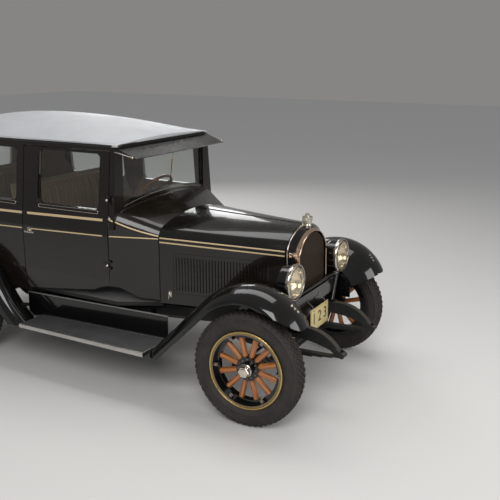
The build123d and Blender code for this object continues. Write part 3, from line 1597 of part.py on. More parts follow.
save(spare_carrier, "spare_carrier")
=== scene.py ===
# %% [markdown]
# # A closed two-door car of the 1920s
# The solids of the car come packed as a fixed frame. This notebook dresses them: it sets the view
# and the light, makes the paints, woods, cloths and metals, and models the trim, the tread and the
# upholstery that a CAD model leaves plain. All sizes are metres, X forward, Y to the left, Z up.

import bpy
import math
from mathutils import Matrix, Vector
from mathutils.bvhtree import BVHTree


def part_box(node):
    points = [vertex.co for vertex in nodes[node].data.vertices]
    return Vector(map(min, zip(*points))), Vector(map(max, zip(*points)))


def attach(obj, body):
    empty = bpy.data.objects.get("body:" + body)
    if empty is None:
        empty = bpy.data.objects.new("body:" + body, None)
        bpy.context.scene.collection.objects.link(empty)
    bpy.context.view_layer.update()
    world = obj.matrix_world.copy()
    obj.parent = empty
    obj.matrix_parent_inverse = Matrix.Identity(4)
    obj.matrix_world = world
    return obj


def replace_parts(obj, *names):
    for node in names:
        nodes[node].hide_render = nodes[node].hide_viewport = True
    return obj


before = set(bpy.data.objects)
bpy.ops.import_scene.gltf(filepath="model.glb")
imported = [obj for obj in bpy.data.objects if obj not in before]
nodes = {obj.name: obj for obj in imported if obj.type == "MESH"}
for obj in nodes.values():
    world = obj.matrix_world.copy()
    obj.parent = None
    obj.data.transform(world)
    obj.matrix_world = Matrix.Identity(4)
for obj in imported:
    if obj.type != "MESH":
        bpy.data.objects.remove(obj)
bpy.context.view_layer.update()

# %% [markdown]
# ## The places everything is measured from
# A car is laid out from its axles. The trim below sits at distances from the two axle lines, so
# those come first, as the solids have them. Places could be counted from the middle of the floor,
# but one that is given from an axle says what it belongs to.

# %% Axle lines and main levels
FRONT_AXLE, REAR_AXLE, HALF_TRACK, TYRE_RADIUS = 1.5625, -1.1375, 0.711, 0.386
PARKED_ANGLE = math.radians(4.3)
KING_PIN_Y = 0.610
HOOD_FRONT, HOOD_REAR = FRONT_AXLE + 0.045, FRONT_AXLE - 0.900
PILLAR, DOOR_REAR, BODY_REAR = FRONT_AXLE - 1.225, FRONT_AXLE - 2.060, FRONT_AXLE - 3.300
SIDES = (("right", -1), ("left", 1))
UP, DOWN = Vector((0, 0, 1)), Vector((0, 0, -1))
FORWARD, BACKWARDS = Vector((1, 0, 0)), Vector((-1, 0, 0))
print("wheelbase", FRONT_AXLE - REAR_AXLE, "m, track", 2 * HALF_TRACK, "m")

# %% [markdown]
# ## The camera
# The photograph was taken from the car's right front quarter, from a little above the roof. Its
# frame is a part of a larger picture, so the lens axis is not at the middle: a small shift puts it
# where it was. The place and the angles come from lining up the wheels, lamps and roof corners.

# %% Camera
FOCAL_PIXELS, FRAME_PIXELS, AXIS_PIXEL = 721.57, 500, (297.62, 168.52)
YAW, PITCH, ROLL = 0.476548, 0.158148, 0.003596
EYE = (2.32613 + FRONT_AXLE, -4.51973, 2.41369)
back = Vector((math.sin(YAW) * math.cos(PITCH), -math.cos(YAW) * math.cos(PITCH), math.sin(PITCH)))
level = Vector((math.cos(YAW), math.sin(YAW), 0))
upward = back.cross(level)
right = math.cos(ROLL) * level + math.sin(ROLL) * upward
above = math.cos(ROLL) * upward - math.sin(ROLL) * level
scene = bpy.context.scene
camera_data = bpy.data.cameras.new("photo_camera")
camera = bpy.data.objects.new("photo_camera", camera_data)
scene.collection.objects.link(camera)
camera_data.sensor_width = 36
camera_data.lens = FOCAL_PIXELS * camera_data.sensor_width / FRAME_PIXELS
camera_data.shift_x = (FRAME_PIXELS / 2 - AXIS_PIXEL[0]) / FRAME_PIXELS
camera_data.shift_y = (AXIS_PIXEL[1] - FRAME_PIXELS / 2) / FRAME_PIXELS
camera_data.clip_end = 200
camera.matrix_world = Matrix.Translation(EYE) @ Matrix((right, above, back)).transposed().to_4x4()
scene.camera = camera
print("lens", round(camera_data.lens, 2), "mm")

# %% [markdown]
# ## Nodes and materials
# Every surface is a small graph of nodes, so one class places and wires them. A material starts
# from one plain shader whose constant values are set on its own sockets. The nodes could be placed
# one by one, but the same few steps return in every material, and short methods keep them
# readable.

# %% Graphs of nodes
class Graph:
    """A node tree with short ways to fill it; place is the vector that its textures follow."""

    def __init__(self, tree, place=None):
        self.tree, self.place = tree, place

    def wire(self, source, socket):
        """Links an output, or the first output of a node, to an input socket."""
        self.tree.links.new(source.outputs[0] if isinstance(source, bpy.types.Node) else source, socket)

    def put(self, kind, inputs=None, **settings):
        """A shader node; each input takes a plain value, or is linked to a node or an output."""
        made = self.tree.nodes.new("ShaderNode" + kind)
        for key, value in settings.items():
            setattr(made, key, value)
        for key, value in (inputs or {}).items():
            if isinstance(value, (bpy.types.Node, bpy.types.NodeSocket)):
                self.wire(value, made.inputs[key])
            else:
                made.inputs[key].default_value = value
        return made

    def texture(self, kind, inputs=None, **settings):
        """A texture, a mapping or an effect group that follows place."""
        return self.put(kind, {"Vector": self.place, **(inputs or {})}, **settings)

    def maths(self, operation, *sources):
        """A Math node on numbers, nodes or outputs."""
        return self.put("Math", dict(enumerate(sources)), operation=operation)

    def use(self, group, **inputs):
        """One placed copy of an effect group."""
        return self.texture("Group", inputs, node_tree=group)


class Finish(Graph):
    """A material in the making; values are its shader's plain settings."""

    def __init__(self, name, **values):
        self.material = bpy.data.materials.new(name)
        self.material.use_nodes = True
        super().__init__(self.material.node_tree)
        self.place = self.put("TexCoord").outputs["Object"]
        self.shader = self.tree.nodes["Principled BSDF"]
        for key, value in values.items():
            self.shader.inputs[key.replace("_", " ")].default_value = value
        print("finish", name)

    def colour(self, source):
        self.wire(source, self.shader.inputs["Base Color"])

    def rough(self, scale, low, high):
        """Roughness that wanders between two limits."""
        self.wire(self.use(patches, Scale=scale, Low=low, High=high), self.shader.inputs["Roughness"])

    def bump(self, height, strength, distance):
        """Fine relief from a height, too small to be worth modelling."""
        relief = self.put("Bump", {"Strength": strength, "Distance": distance, "Height": height})
        self.wire(relief, self.shader.inputs["Normal"])


# %% [markdown]
# ## Working with operators
# An operator acts on all that is selected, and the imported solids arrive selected. Data could be
# edited without operators, but then the steps would not be those of a modeller at the window. So
# two helpers clear the selection, or leave one piece in it, and no later step can touch a solid by
# mistake.

# %% Helpers for Blender's operators
def deselect():
    """Nothing selected, in object mode."""
    if bpy.context.object and bpy.context.object.mode != "OBJECT":
        bpy.ops.object.mode_set(mode="OBJECT")
    bpy.ops.object.select_all(action="DESELECT")


def activate(piece):
    """Only this piece selected, and active."""
    deselect()
    piece.select_set(True)
    bpy.context.view_layer.objects.active = piece


# %% [markdown]
# ## Floor and light
# The car stands on a plain pale floor in soft studio light, so each paint shows about the colour
# it is given. A curved backdrop would do too, but one flat plane is enough: it catches the shadow
# and ends far outside the picture.

# %% Floor, a hair below the tyres so that the faces don't flicker
FLOOR_SIZE, FLOOR_LEVEL = 60, -0.0015
deselect()
bpy.ops.mesh.primitive_plane_add(size=FLOOR_SIZE, location=(0, 0, FLOOR_LEVEL))
floor = bpy.context.object
floor.name = "floor"
floor_paint = Finish("floor_paint", Base_Color=(0.72, 0.70, 0.67, 1), Roughness=0.9)
floor_paint.bump(floor_paint.put("TexNoise", {"Scale": 220}), 0.05, 0.002)
floor.data.materials.append(floor_paint.material)
print("floor", FLOOR_SIZE, "m wide")

# %% [markdown]
# Gloss black is seen only by what it mirrors. One colour for the whole world would be simpler, but
# then the background and the light on the car could not be set apart. Light Path tells the rays
# apart: the camera, mirrors and glass see the grey, and all other rays get a cooler fill.

# %% World: a grey that the camera sees and panels mirror, and a cooler fill for the rest
world = bpy.data.worlds.new("studio")
scene.world = world
world.use_nodes = True
world.node_tree.nodes.clear()
sky = Graph(world.node_tree)
sky_fill = sky.put("Background", {"Color": (0.92, 0.95, 1.0, 1), "Strength": 0.32})
sky_seen = sky.put("Background", {"Color": (0.24, 0.235, 0.23, 1), "Strength": 1.0})
ray = sky.put("LightPath")
seen = ray.outputs["Is Camera Ray"]
for kind in ("Is Glossy Ray", "Is Transmission Ray"):
    seen = sky.maths("MAXIMUM", seen, ray.outputs[kind])
sky.put("OutputWorld", {"Surface": sky.put("MixShader", {"Fac": seen, 1: sky_fill, 2: sky_seen})})
scene.view_settings.view_transform = "Standard"
print("world of", len(world.node_tree.nodes), "nodes")

# %% [markdown]
# Large area lamps work better than small ones here: a wide soft lamp draws the long highlights
# that show the shape of the panels. The key stands on the camera's side, and weaker lamps light
# the car from above, from behind on the left and from ahead.

# %% Lamps
lamps = (
    # name, place, aim, width, length, watts
    ("key", (3.5, -5.5, 5.0), (0.2, 0, 0.6), 3.5, 3.5, 250),
    ("top", (0.0, 0.5, 5.5), (0.0, 0, 0.5), 6.0, 2.0, 115),
    ("fill", (-3.5, 5.0, 3.5), (0, 0, 0.7), 3.0, 3.0, 85),
    ("front", (6.5, 0.5, 2.5), (1.0, 0, 0.7), 3.0, 2.0, 75),
)
for name, place, aim, width, length, watts in lamps:
    lamp_data = bpy.data.lights.new(name, "AREA")
    lamp_data.shape = "RECTANGLE"
    lamp_data.size, lamp_data.size_y, lamp_data.energy = width, length, watts
    lamp = bpy.data.objects.new(name, lamp_data)
    lamp.location = place
    lamp.rotation_euler = (Vector(place) - Vector(aim)).to_track_quat("Z", "Y").to_euler()
    scene.collection.objects.link(lamp)
print(len(lamps), "lamps")

# %% [markdown]
# ## Shader effects that several finishes share
# Real surfaces differ less in colour than in their small faults: dust on what faces up, rough and
# smooth patches, grain. Each such effect is one node group with named inputs, used by many
# materials with other values. The shader itself stays in each material.

# %% Patches: a value that wanders between two limits
def new_group(name, outputs, **inputs):
    """An effect group's graph, its given inputs and its outputs; None is a colour without a default."""
    tree = bpy.data.node_groups.new(name, "ShaderNodeTree")
    tree.interface.new_socket(name="Vector", in_out="INPUT", socket_type="NodeSocketVector")
    for label, value in inputs.items():
        kind = "NodeSocketFloat" if isinstance(value, (int, float)) else "NodeSocketColor"
        entry = tree.interface.new_socket(name=label, in_out="INPUT", socket_type=kind)
        if value is not None:
            entry.default_value = value
    for label in outputs:
        kind = "NodeSocketColor" if label == "Color" else "NodeSocketFloat"
        tree.interface.new_socket(name=label, in_out="OUTPUT", socket_type=kind)
    print("effect", name, "gives", ", ".join(outputs))
    given = tree.nodes.new("NodeGroupInput").outputs
    return Graph(tree, given["Vector"]), given, tree.nodes.new("NodeGroupOutput").inputs


graph, given, out = new_group("patches", ("Value",), Scale=6, Low=0.2, High=0.4)
cloud = graph.texture("TexNoise", {"Detail": 5, "Roughness": 0.6, "Scale": given["Scale"]})
graph.wire(graph.put("MapRange", {
    "From Min": 0.32, "From Max": 0.68, "Value": cloud, "To Min": given["Low"], "To Max": given["High"],
}), out["Value"])
patches = graph.tree

# %% [markdown]
# Dust lies on what faces up, and in drifts. It could be painted by hand on a map of each piece.
# Here the normal of the surface says where it settles, so one group fits every piece without a
# map.

# %% Dust: settles where the surface faces up, in uneven drifts
graph, given, out = new_group("dust", ("Color", "Mask"), Color=None, Dust=(0.30, 0.25, 0.19, 1), Amount=0.2)
facing = graph.put("SeparateXYZ", {"Vector": graph.put("NewGeometry").outputs["Normal"]})
upward_face = graph.put("MapRange", {"From Min": 0.15, "From Max": 1.0, "Value": facing.outputs["Z"]})
drift = graph.texture("TexNoise", {"Scale": 9, "Detail": 6, "Roughness": 0.7})
thin = graph.maths("MULTIPLY", graph.maths("MULTIPLY", upward_face, drift), given["Amount"])
graph.wire(graph.put("MixRGB", {"Fac": thin, "Color1": given["Color"], "Color2": given["Dust"]}), out["Color"])
graph.wire(thin, out["Mask"])
dust = graph.tree

# %% [markdown]
# Sawn wood shows long streaks where its growth rings are cut, with fine pores along them. A
# photograph of wood could be laid on, but it repeats. A wave and a noise, both stretched along X,
# never do.

# %% Wood: long pale and dark streaks along X, with fine pores
graph, given, out = new_group("wood", ("Color", "Height"), Pale=None, Dark=None)
rings = graph.put("TexWave", {
    "Scale": 1.3, "Distortion": 5.5, "Detail": 3, "Detail Scale": 1.6,
    "Vector": graph.texture("Mapping", {"Scale": (1.2, 14, 14)}),
}, bands_direction="Y")
pores_place = graph.texture("Mapping", {"Scale": (18, 420, 420)})
pores = graph.put("TexNoise", {"Scale": 1, "Detail": 4, "Vector": pores_place})
both = graph.put("MixRGB", {"Fac": 0.35, "Color1": rings.outputs["Fac"], "Color2": pores})
graph.wire(graph.put("MixRGB", {"Fac": both, "Color1": given["Dark"], "Color2": given["Pale"]}), out["Color"])
graph.wire(pores, out["Height"])
wood = graph.tree

# %% [markdown]
# Woven cloth is threads that cross. To model them would take millions of faces, so three waves,
# one along each axis, draw them on whichever side a pad turns to the eye, and a slow noise makes
# the tone wander as on worn cloth.

# %% Cloth: crossed threads, with a slow wander of tone
graph, given, out = new_group("cloth", ("Color", "Height"), Threads=500, Color=None, Shade=None)
threads = [
    graph.texture("TexWave", {"Distortion": 0.4, "Scale": given["Threads"]}, bands_direction=way).outputs["Fac"]
    for way in ("X", "Y", "Z")
]
woven = graph.maths("ADD", graph.maths("MULTIPLY", threads[0], threads[1]), threads[2])
tone = graph.texture("TexNoise", {"Scale": 7, "Detail": 8, "Roughness": 0.7})
share = graph.maths("ADD", graph.maths("MULTIPLY", woven, 0.35), tone)
toned = graph.put("MixRGB", {"Fac": share, "Color1": given["Shade"], "Color2": given["Color"]})
graph.wire(toned, out["Color"])
graph.wire(woven, out["Height"])
cloth = graph.tree
print(len(bpy.data.node_groups), "shared effects")

# %% [markdown]
# ## Paints and finishes
# Each finish sets its constant values on its own shader. What changes over the surface, such as
# dust, patches and grain, is fed to it from the groups above. Car paint of this age is a dark
# ground under varnish. One glossy layer would look like plastic, so a clear coat lies over a
# duller ground.

# %% Lacquers: deep gloss over a dark ground, a little dust on top
def lacquer(name, colour, dust_amount, low=0.16, high=0.3, coat=1.0):
    """Paint that is flatter and rougher the less clear coat it has."""
    paint = Finish(name, Coat_Weight=coat, Coat_Roughness=0.03, Specular_IOR_Level=0.5 - 0.4 * coat)
    paint.colour(paint.use(dust, Color=(*colour, 1), Amount=dust_amount))
    paint.rough(5, low, high)
    paint.bump(paint.texture("TexNoise", {"Scale": 160, "Detail": 2}), 0.04, 0.0006)
    return paint.material


body_paint = lacquer("body_lacquer", (0.008, 0.0055, 0.0035), 0.025, coat=0.65)
upper_paint = lacquer("upper_lacquer", (0.004, 0.0035, 0.0035), 0.025, coat=0.75)
enamel = lacquer("fender_enamel", (0.004, 0.0038, 0.004), 0.025, 0.1, 0.22, 0.85)
chassis_paint = lacquer("chassis_paint", (0.010, 0.010, 0.010), 0.3, 0.45, 0.7, 0.0)
line_paint = lacquer("coachline_cream", (0.62, 0.47, 0.27), 0.05, 0.25, 0.4)
rim_paint = lacquer("rim_olive", (0.17, 0.12, 0.045), 0.1, 0.3, 0.5, 0.3)
plate_paint = lacquer("plate_yellow", (0.62, 0.50, 0.22), 0.1, 0.4, 0.55, 0.2)
figure_paint = lacquer("plate_figures", (0.035, 0.025, 0.015), 0.1, 0.4, 0.55, 0.2)


# %% [markdown]
# Bright parts of this age are plated with nickel, which is warmer than chrome, or are bare
# aluminium, brass and steel. A flawless mirror looks unreal, so the shared patches cloud it and
# roughen it, and a fine noise scratches it.

# %% Metals: a coloured mirror, clouded and finely scratched
def metal(name, colour, low, high, stain=(0.25, 0.2, 0.14), stain_amount=0.25, scratch=260):
    """Bare or plated metal; stain is the colour of its cloudy patches."""
    plate = Finish(name, Metallic=1.0)
    clouded = plate.use(patches, Scale=14, Low=0.0, High=stain_amount)
    plate.colour(plate.put("MixRGB", {"Color1": (*colour, 1), "Color2": (*stain, 1), "Fac": clouded}))
    plate.rough(40, low, high)
    plate.bump(plate.texture("TexNoise", {"Scale": scratch, "Detail": 3}), 0.05, 0.0004)
    return plate.material


nickel = metal("nickel_plate", (0.70, 0.65, 0.57), 0.08, 0.22)
aluminium = metal("worn_aluminium", (0.60, 0.59, 0.57), 0.28, 0.5, scratch=500)
brass = metal("aged_brass", (0.62, 0.40, 0.14), 0.18, 0.38)
rim_metal = metal("golden_rim_edge", (0.62, 0.44, 0.17), 0.2, 0.4)
copper = metal("warm_nickel", (0.82, 0.60, 0.44), 0.06, 0.16, stain_amount=0.12)
steel = metal("dull_steel", (0.30, 0.28, 0.26), 0.35, 0.6, (0.22, 0.10, 0.05), 0.6)
iron = metal("cast_iron", (0.12, 0.12, 0.12), 0.5, 0.75, (0.14, 0.08, 0.05), 0.5)
reflector = metal("lamp_reflector", (0.86, 0.82, 0.74), 0.05, 0.12, stain_amount=0.1)

# %% [markdown]
# The roof is rubbered cloth, stretched over wooden bows. Its pebble grain is much too small to be
# modelled, so the cells of a Voronoi texture raise it as fine relief, over the shared weave.

# %% Roof cloth: pale rubbered cloth with a fine pebble grain
roofing = Finish("roof_leathercloth")
roofing.colour(roofing.use(cloth, Threads=700, Color=(0.50, 0.51, 0.52, 1), Shade=(0.33, 0.335, 0.34, 1)))
roofing.rough(3, 0.42, 0.62)
roofing.bump(roofing.texture("TexVoronoi", {"Scale": 420}), 0.35, 0.0012)
roof_cloth = roofing.material


# %% [markdown]
# Closed cars were trimmed in wool cloth with a slight nap. Sheen gives the nap. The stripes could
# be a picture on a map of each pad, but a wave across the car is enough, since every pad lies
# square to it.

# %% Seat cloth and lining: woven wool, with pale stripes on the seats
ACROSS = {"bands_direction": "Y", "wave_profile": "SIN"}


def woven_cloth(name, colour, shade, threads=420, stripes=0.0):
    """Wool cloth; stripes is how strongly pale bands show across Y."""
    wool = Finish(name, Roughness=0.92, Sheen_Weight=0.35, Sheen_Roughness=0.5)
    laid = wool.use(cloth, Threads=threads, Color=(*colour, 1), Shade=(*shade, 1))
    band = wool.texture("TexWave", {"Scale": 7.5}, **ACROSS).outputs["Fac"]
    narrow = wool.put("MapRange", {"From Min": 0.9, "To Max": stripes, "Value": band})
    wool.colour(wool.put("MixRGB", {"Color2": (0.42, 0.34, 0.22, 1), "Fac": narrow, "Color1": laid}))
    wool.bump(laid.outputs["Height"], 0.5, 0.0008)
    return wool.material


seat_cloth = woven_cloth("seat_cloth", (0.30, 0.20, 0.11), (0.16, 0.10, 0.055), stripes=0.6)
lining = woven_cloth("cabin_lining", (0.36, 0.27, 0.17), (0.22, 0.16, 0.10), 600)
carpet = woven_cloth("floor_carpet", (0.06, 0.045, 0.035), (0.03, 0.022, 0.018), 260)

# %% [markdown]
# Used rubber is dark grey rather than black, and the road browns it. Dust comes from the shared
# group and a smear of brown from the patches. The mats on the running boards are a paler rubber;
# their ribs are in the mesh.

# %% Rubber: nearly black, matt, browned by road dust
black = Finish("tyre_rubber", Specular_IOR_Level=0.35)
laid = black.use(dust, Color=(0.022, 0.020, 0.019, 1), Dust=(0.16, 0.12, 0.09, 1), Amount=0.35)
smear = black.use(patches, Scale=11, Low=0.0, High=0.32)
black.colour(black.put("MixRGB", {"Color2": (0.075, 0.058, 0.045, 1), "Fac": smear, "Color1": laid}))
black.rough(30, 0.55, 0.8)
black.bump(black.texture("TexNoise", {"Scale": 700, "Detail": 4}), 0.25, 0.0006)
rubber = black.material

grey = Finish("mat_rubber", Specular_IOR_Level=0.3)
laid = grey.use(dust, Color=(0.045, 0.046, 0.05, 1), Dust=(0.22, 0.20, 0.18, 1), Amount=0.45)
grey.colour(laid)
grey.rough(18, 0.5, 0.75)
grey.bump(laid.outputs["Mask"], 0.2, 0.001)
mat_rubber = grey.material


# %% [markdown]
# Window glass of the time is thin and slightly uneven. A mix with a transparent shader would be
# quicker to render, but transmission with a weak relief bends what is seen through it, as old
# glass does. A wave flutes the lamp lens.

# %% Glass: clear panes and amber lamp lenses
def glass(name, colour, smear, flutes=0.0):
    """Glass that is smeared in patches; flutes is how closely a lens is ribbed."""
    pane = Finish(name, Base_Color=(*colour, 1), Transmission_Weight=1.0, IOR=1.46)
    pane.rough(6, 0.0, smear)
    if flutes:
        pane.bump(pane.texture("TexWave", {"Scale": flutes}, **ACROSS).outputs["Fac"], 0.35, 0.002)
    else:
        pane.bump(pane.texture("TexNoise", {"Scale": 5}), 0.05, 0.002)
    return pane.material


pane_glass = glass("window_glass", (0.95, 0.97, 0.94), 0.05)
lamp_glass = glass("lamp_glass", (1.0, 0.93, 0.78), 0.04, 22)
bulb_glass = glass("bulb_glass", (1.0, 0.96, 0.88), 0.3)
red_glass = glass("tail_lamp_glass", (0.55, 0.02, 0.01), 0.2, 50)


# %% [markdown]
# The grain of a spoke runs along it, from the hub to the rim. Each spoke could have its own map,
# but there are twelve to a wheel. So the coordinates are turned round the axle: X becomes the
# distance from it, and one material grains them all.

# %% Varnished wood: spokes with the grain along each spoke, and a steering rim
def varnish(name, pale, dark, coat=0.8, axle=None):
    """Varnished wood whose grain runs along X, or away from a wheel's axle."""
    timber = Finish(name, Coat_Weight=coat, Coat_Roughness=0.12)
    grain_place = timber.place
    if axle:
        moved = timber.texture("Mapping", {"Location": tuple(-c for c in axle)})
        x, y, z = timber.put("SeparateXYZ", {"Vector": moved}).outputs
        square = timber.maths("MULTIPLY_ADD", z, z, timber.maths("MULTIPLY", x, x))
        round_axle = timber.maths("MULTIPLY", timber.maths("ARCTAN2", z, x), 0.15)
        grain_place = timber.put("CombineXYZ", {"X": timber.maths("SQRT", square), "Y": round_axle, "Z": y})
    grain = timber.use(wood, Pale=(*pale, 1), Dark=(*dark, 1), Vector=grain_place)
    timber.colour(grain)
    timber.rough(12, 0.3, 0.48)
    timber.bump(grain.outputs["Height"], 0.12, 0.0006)
    return timber.material


steering_wood = varnish("steering_rim_wood", (0.44, 0.17, 0.05), (0.20, 0.07, 0.022))
floor_wood = varnish("floor_boards", (0.20, 0.14, 0.08), (0.09, 0.06, 0.035), 0.0)

# %% [markdown]
# The core is rows of small cells with brassy edges. Each cell is a deep opening, and its inside is
# painted near black as the shade that fills it. To model thousands of them would cost more faces
# than the body of the car, and they are seen from afar, so a brick texture draws them, with relief.

# %% Radiator core: rows of small cells, painted dark inside as their shade, brassy on their edges
core = Finish("radiator_cells", Metallic=0.3, Roughness=0.5, Specular_IOR_Level=0.2)
x, y, z = core.put("SeparateXYZ", {"Vector": core.place}).outputs
# The two near-black brick colours are painted shade inside the cells; the mortar is the brass of their edges.
cells = core.put("TexBrick", {
    "Scale": 34, "Color1": (0.004, 0.003, 0.0025, 1), "Color2": (0.010, 0.007, 0.005, 1),
    "Mortar": (0.075, 0.042, 0.022, 1), "Mortar Size": 0.045, "Brick Width": 0.34, "Row Height": 0.62,
    "Vector": core.put("CombineXYZ", {"X": y, "Y": z}),
})
core.colour(cells)
core.bump(cells.outputs["Fac"], 0.8, 0.003)
core_metal = core.material

# %% [markdown]
# ## Dressing the solids
# The solids keep their shape. Each gets its finish through its material slot, and where one solid
# holds two finishes, such as a wheel with wooden spokes and a steel rim, its faces are told apart
# by where they lie.

# %% Finishes of whole pieces
def also(name, material, chosen):
    """A second finish on the faces for which chosen(centre, normal) is true."""
    mesh = nodes[name].data
    mesh.materials.append(material)
    faces = [face for face in mesh.polygons if chosen(face.center, face.normal)]
    for face in faces:
        face.material_index = len(mesh.materials) - 1
    return len(faces)


finishes = (
    (chassis_paint, "frame front_axle springs rear_axle fuel_tank tie_rod knuckle_right knuckle_left"),
    (iron, "engine_block"),
    (steel, "exhaust"),
    (core_metal, "radiator_core"),
    (body_paint, "cowl side_panels back_panel door_right door_left hood_side_right hood_side_left"),
    (upper_paint, "hood_top_right hood_top_left radiator_shell sun_visor"),
    (enamel, "front_fenders rear_fenders running_boards headlamps spare_carrier"),
    (enamel, "wheel_front_right wheel_front_left wheel_rear_right wheel_rear_left"),
    (roof_cloth, "roof"),
    (pane_glass, "fixed_glass door_glass_right door_glass_left"),
    (lamp_glass, "headlamp_lenses"),
    (seat_cloth, "front_seat rear_seat"),
    (floor_wood, "body_floor"),
    (steering_wood, "steering_wheel"),
    (rubber, "tyre_front_right tyre_front_left tyre_rear_right tyre_rear_left spare_tyre"),
)
for material, names in finishes:
    for name in names.split():
        nodes[name].material_slots[0].material = material
outer = also(
    "body_floor", chassis_paint, lambda p, n: abs(p.y) > 0.54 or p.z < 0.585 or p.x < -1.66 or p.x > 0.36
)
bar = also("headlamps", upper_paint, lambda p, n: abs(p.y) < 0.4 and p.z < 0.76)
print(outer, "floor faces and", bar, "bar faces painted")

# %% [markdown]
# Each wheel is one solid of wood and steel. It could be cut in two, but then the solids would no
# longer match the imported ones. So its faces are told apart by how far they lie from the axle, and
# how far out along it.

# %% Wheels: wooden spokes between a black hub and a black rim with a cream line
wheels = []
for side_name, side in SIDES:
    out_front = Vector((-side * math.sin(PARKED_ANGLE), side * math.cos(PARKED_ANGLE), 0))
    king_pin = Vector((FRONT_AXLE, side * KING_PIN_Y, TYRE_RADIUS))
    rear_centre = Vector((REAR_AXLE, side * HALF_TRACK, TYRE_RADIUS))
    wheels.append(("front_" + side_name, king_pin + (HALF_TRACK - KING_PIN_Y) * out_front, out_front))
    wheels.append(("rear_" + side_name, rear_centre, Vector((0, side, 0))))


def from_axle(point, centre, outward):
    """Distance from the wheel's axle, and distance out along it."""
    along = (point - centre).dot(outward)
    return (point - centre - along * outward).length, along


for name, centre, outward in wheels:
    spoke_wood = varnish("spoke_wood_" + name, (0.52, 0.18, 0.03), (0.22, 0.065, 0.012), 0.9, centre)
    counts = [
        also("wheel_" + name, material, lambda p, n: chosen(*from_axle(p, centre, outward)))
        for material, chosen in (
            (spoke_wood, lambda far, out: 0.081 < far < 0.211 and abs(out) < 0.024),
            (rim_paint, lambda far, out: 0.2475 < far < 0.2645 and out > 0.0555),
            (nickel, lambda far, out: far < 0.036 and out > 0.0505),
        )
    ]
    print("wheel_" + name, "wood, rim and cap faces:", counts)

# %% [markdown]
# ## Ways of making trim
# Most trim on a car is one of three forms: a thing turned on a lathe, a strip that follows the
# body, or a small pressed piece. Each form gets one helper built on the operators that a modeller
# would click: a circle extruded ring by ring, a bevelled curve laid on the panel and made a mesh,
# and a plate whose edges are bevelled.

# %% Turned pieces
TINY = 0.0002


def editing(step, **settings):
    """Runs one edit operator on everything in the active mesh."""
    bpy.ops.object.mode_set(mode="EDIT")
    bpy.ops.mesh.select_all(action="SELECT")
    step(**settings)
    bpy.ops.object.mode_set(mode="OBJECT")


def settle(piece, name, material, body, smooth=35):
    """Applies the place, closes doubled points, points faces outwards and fixes piece to its body."""
    activate(piece)
    piece.name = piece.data.name = name
    bpy.ops.object.transform_apply(location=True, rotation=True, scale=True)
    editing(bpy.ops.mesh.remove_doubles, threshold=0.00002)
    editing(bpy.ops.mesh.normals_make_consistent, inside=False)
    bpy.ops.object.shade_smooth_by_angle(angle=math.radians(smooth))
    piece.data.materials.clear()
    piece.data.materials.append(material)
    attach(piece, body)
    return piece


def turned(
    name, rings, material, centre=(0, 0, 0), axis=UP, body="chassis", steps=32, smooth=35, hollow=False
):
    """A form of (radius, height) rings about local Z, stood at centre along axis.

    A solid is capped at both ends; a hollow ring ends on the ring that it began with.
    """
    deselect()
    radius, height = max(rings[0][0], TINY), rings[0][1]
    bpy.ops.mesh.primitive_circle_add(vertices=steps, radius=radius, fill_type="NOTHING" if hollow else "NGON")
    piece = bpy.context.object
    bpy.ops.object.mode_set(mode="EDIT")
    bpy.ops.mesh.select_all(action="SELECT")
    bpy.ops.transform.translate(value=(0, 0, height))
    for next_radius, next_height in rings[1:]:
        next_radius = max(next_radius, TINY)
        bpy.ops.mesh.extrude_region_move(TRANSFORM_OT_translate={"value": (0, 0, next_height - height)})
        share = next_radius / radius
        bpy.ops.transform.resize(value=(share, share, 1), center_override=(0, 0, next_height))
        radius, height = next_radius, next_height
    bpy.ops.object.mode_set(mode="OBJECT")
    piece.rotation_euler = Vector(axis).to_track_quat("Z", "Y").to_euler()
    piece.location = centre
    return settle(piece, name, material, body, smooth)


# %% [markdown]
# Beads, rods and flat bars all follow a line. A profile could be extruded and turned stop by stop,
# but a curve with a bevel does that in one step. Z up keeps a flat bar upright on its way, and at
# the end the curve is made a mesh.

# %% Strips along a line
def strip(name, points, radius, material, body="chassis", tall=0.0, closed=False, sides=3, smooth=60):
    """A round bead along points; with tall it is a flat bar that stands that much up and down."""
    deselect()
    bpy.ops.curve.primitive_nurbs_path_add(location=(0, 0, 0))
    curve = bpy.context.object.data
    curve.splines.clear()
    line = curve.splines.new("POLY")
    line.points.add(len(points) - 1)
    for spot, place in zip(line.points, points):
        spot.co = (*place, 1)
    line.use_cyclic_u = closed
    curve.dimensions, curve.twist_mode = "3D", "Z_UP"
    curve.bevel_depth, curve.extrude, curve.bevel_resolution = radius, tall, sides
    curve.use_fill_caps = True
    bpy.ops.object.convert(target="MESH")
    return settle(bpy.context.object, name, material, body, smooth)


# %% [markdown]
# No pressed or cut part has a perfectly sharp edge, so every box gets small bevels that catch the
# light. What repeats is modelled once and copied, each copy with a mesh of its own. An array
# modifier would copy it too, but a matrix also sets the copy on a wheel that stands at an angle.

# %% Plates and blocks
def bevelled_box(size, edge, segments, **placing):
    """A box whose edges are rounded."""
    deselect()
    bpy.ops.mesh.primitive_cube_add(size=1, **placing)
    piece = bpy.context.object
    piece.scale = size
    bpy.ops.object.transform_apply(location=False, rotation=False, scale=True)
    editing(bpy.ops.mesh.bevel, offset=edge, segments=segments, affect="EDGES")
    return piece


def block(name, size, centre, material, body="chassis", turn=(0, 0, 0), edge=0.002, smooth=40):
    """A small box with rounded edges at its place; turn is its rotation in radians."""
    return settle(bevelled_box(size, edge, 2, location=centre, rotation=turn), name, material, body, smooth)


def copies(piece, moves):
    """Copies of a settled piece, each with its own mesh, moved by the given 4x4 matrices."""
    made = []
    for move in moves:
        twin = piece.copy()
        twin.data = piece.data.copy()
        twin.data.transform(move)
        scene.collection.objects.link(twin)
        made.append(twin)
    return made


def round_z(angle):
    return Matrix.Rotation(angle, 4, "Z")


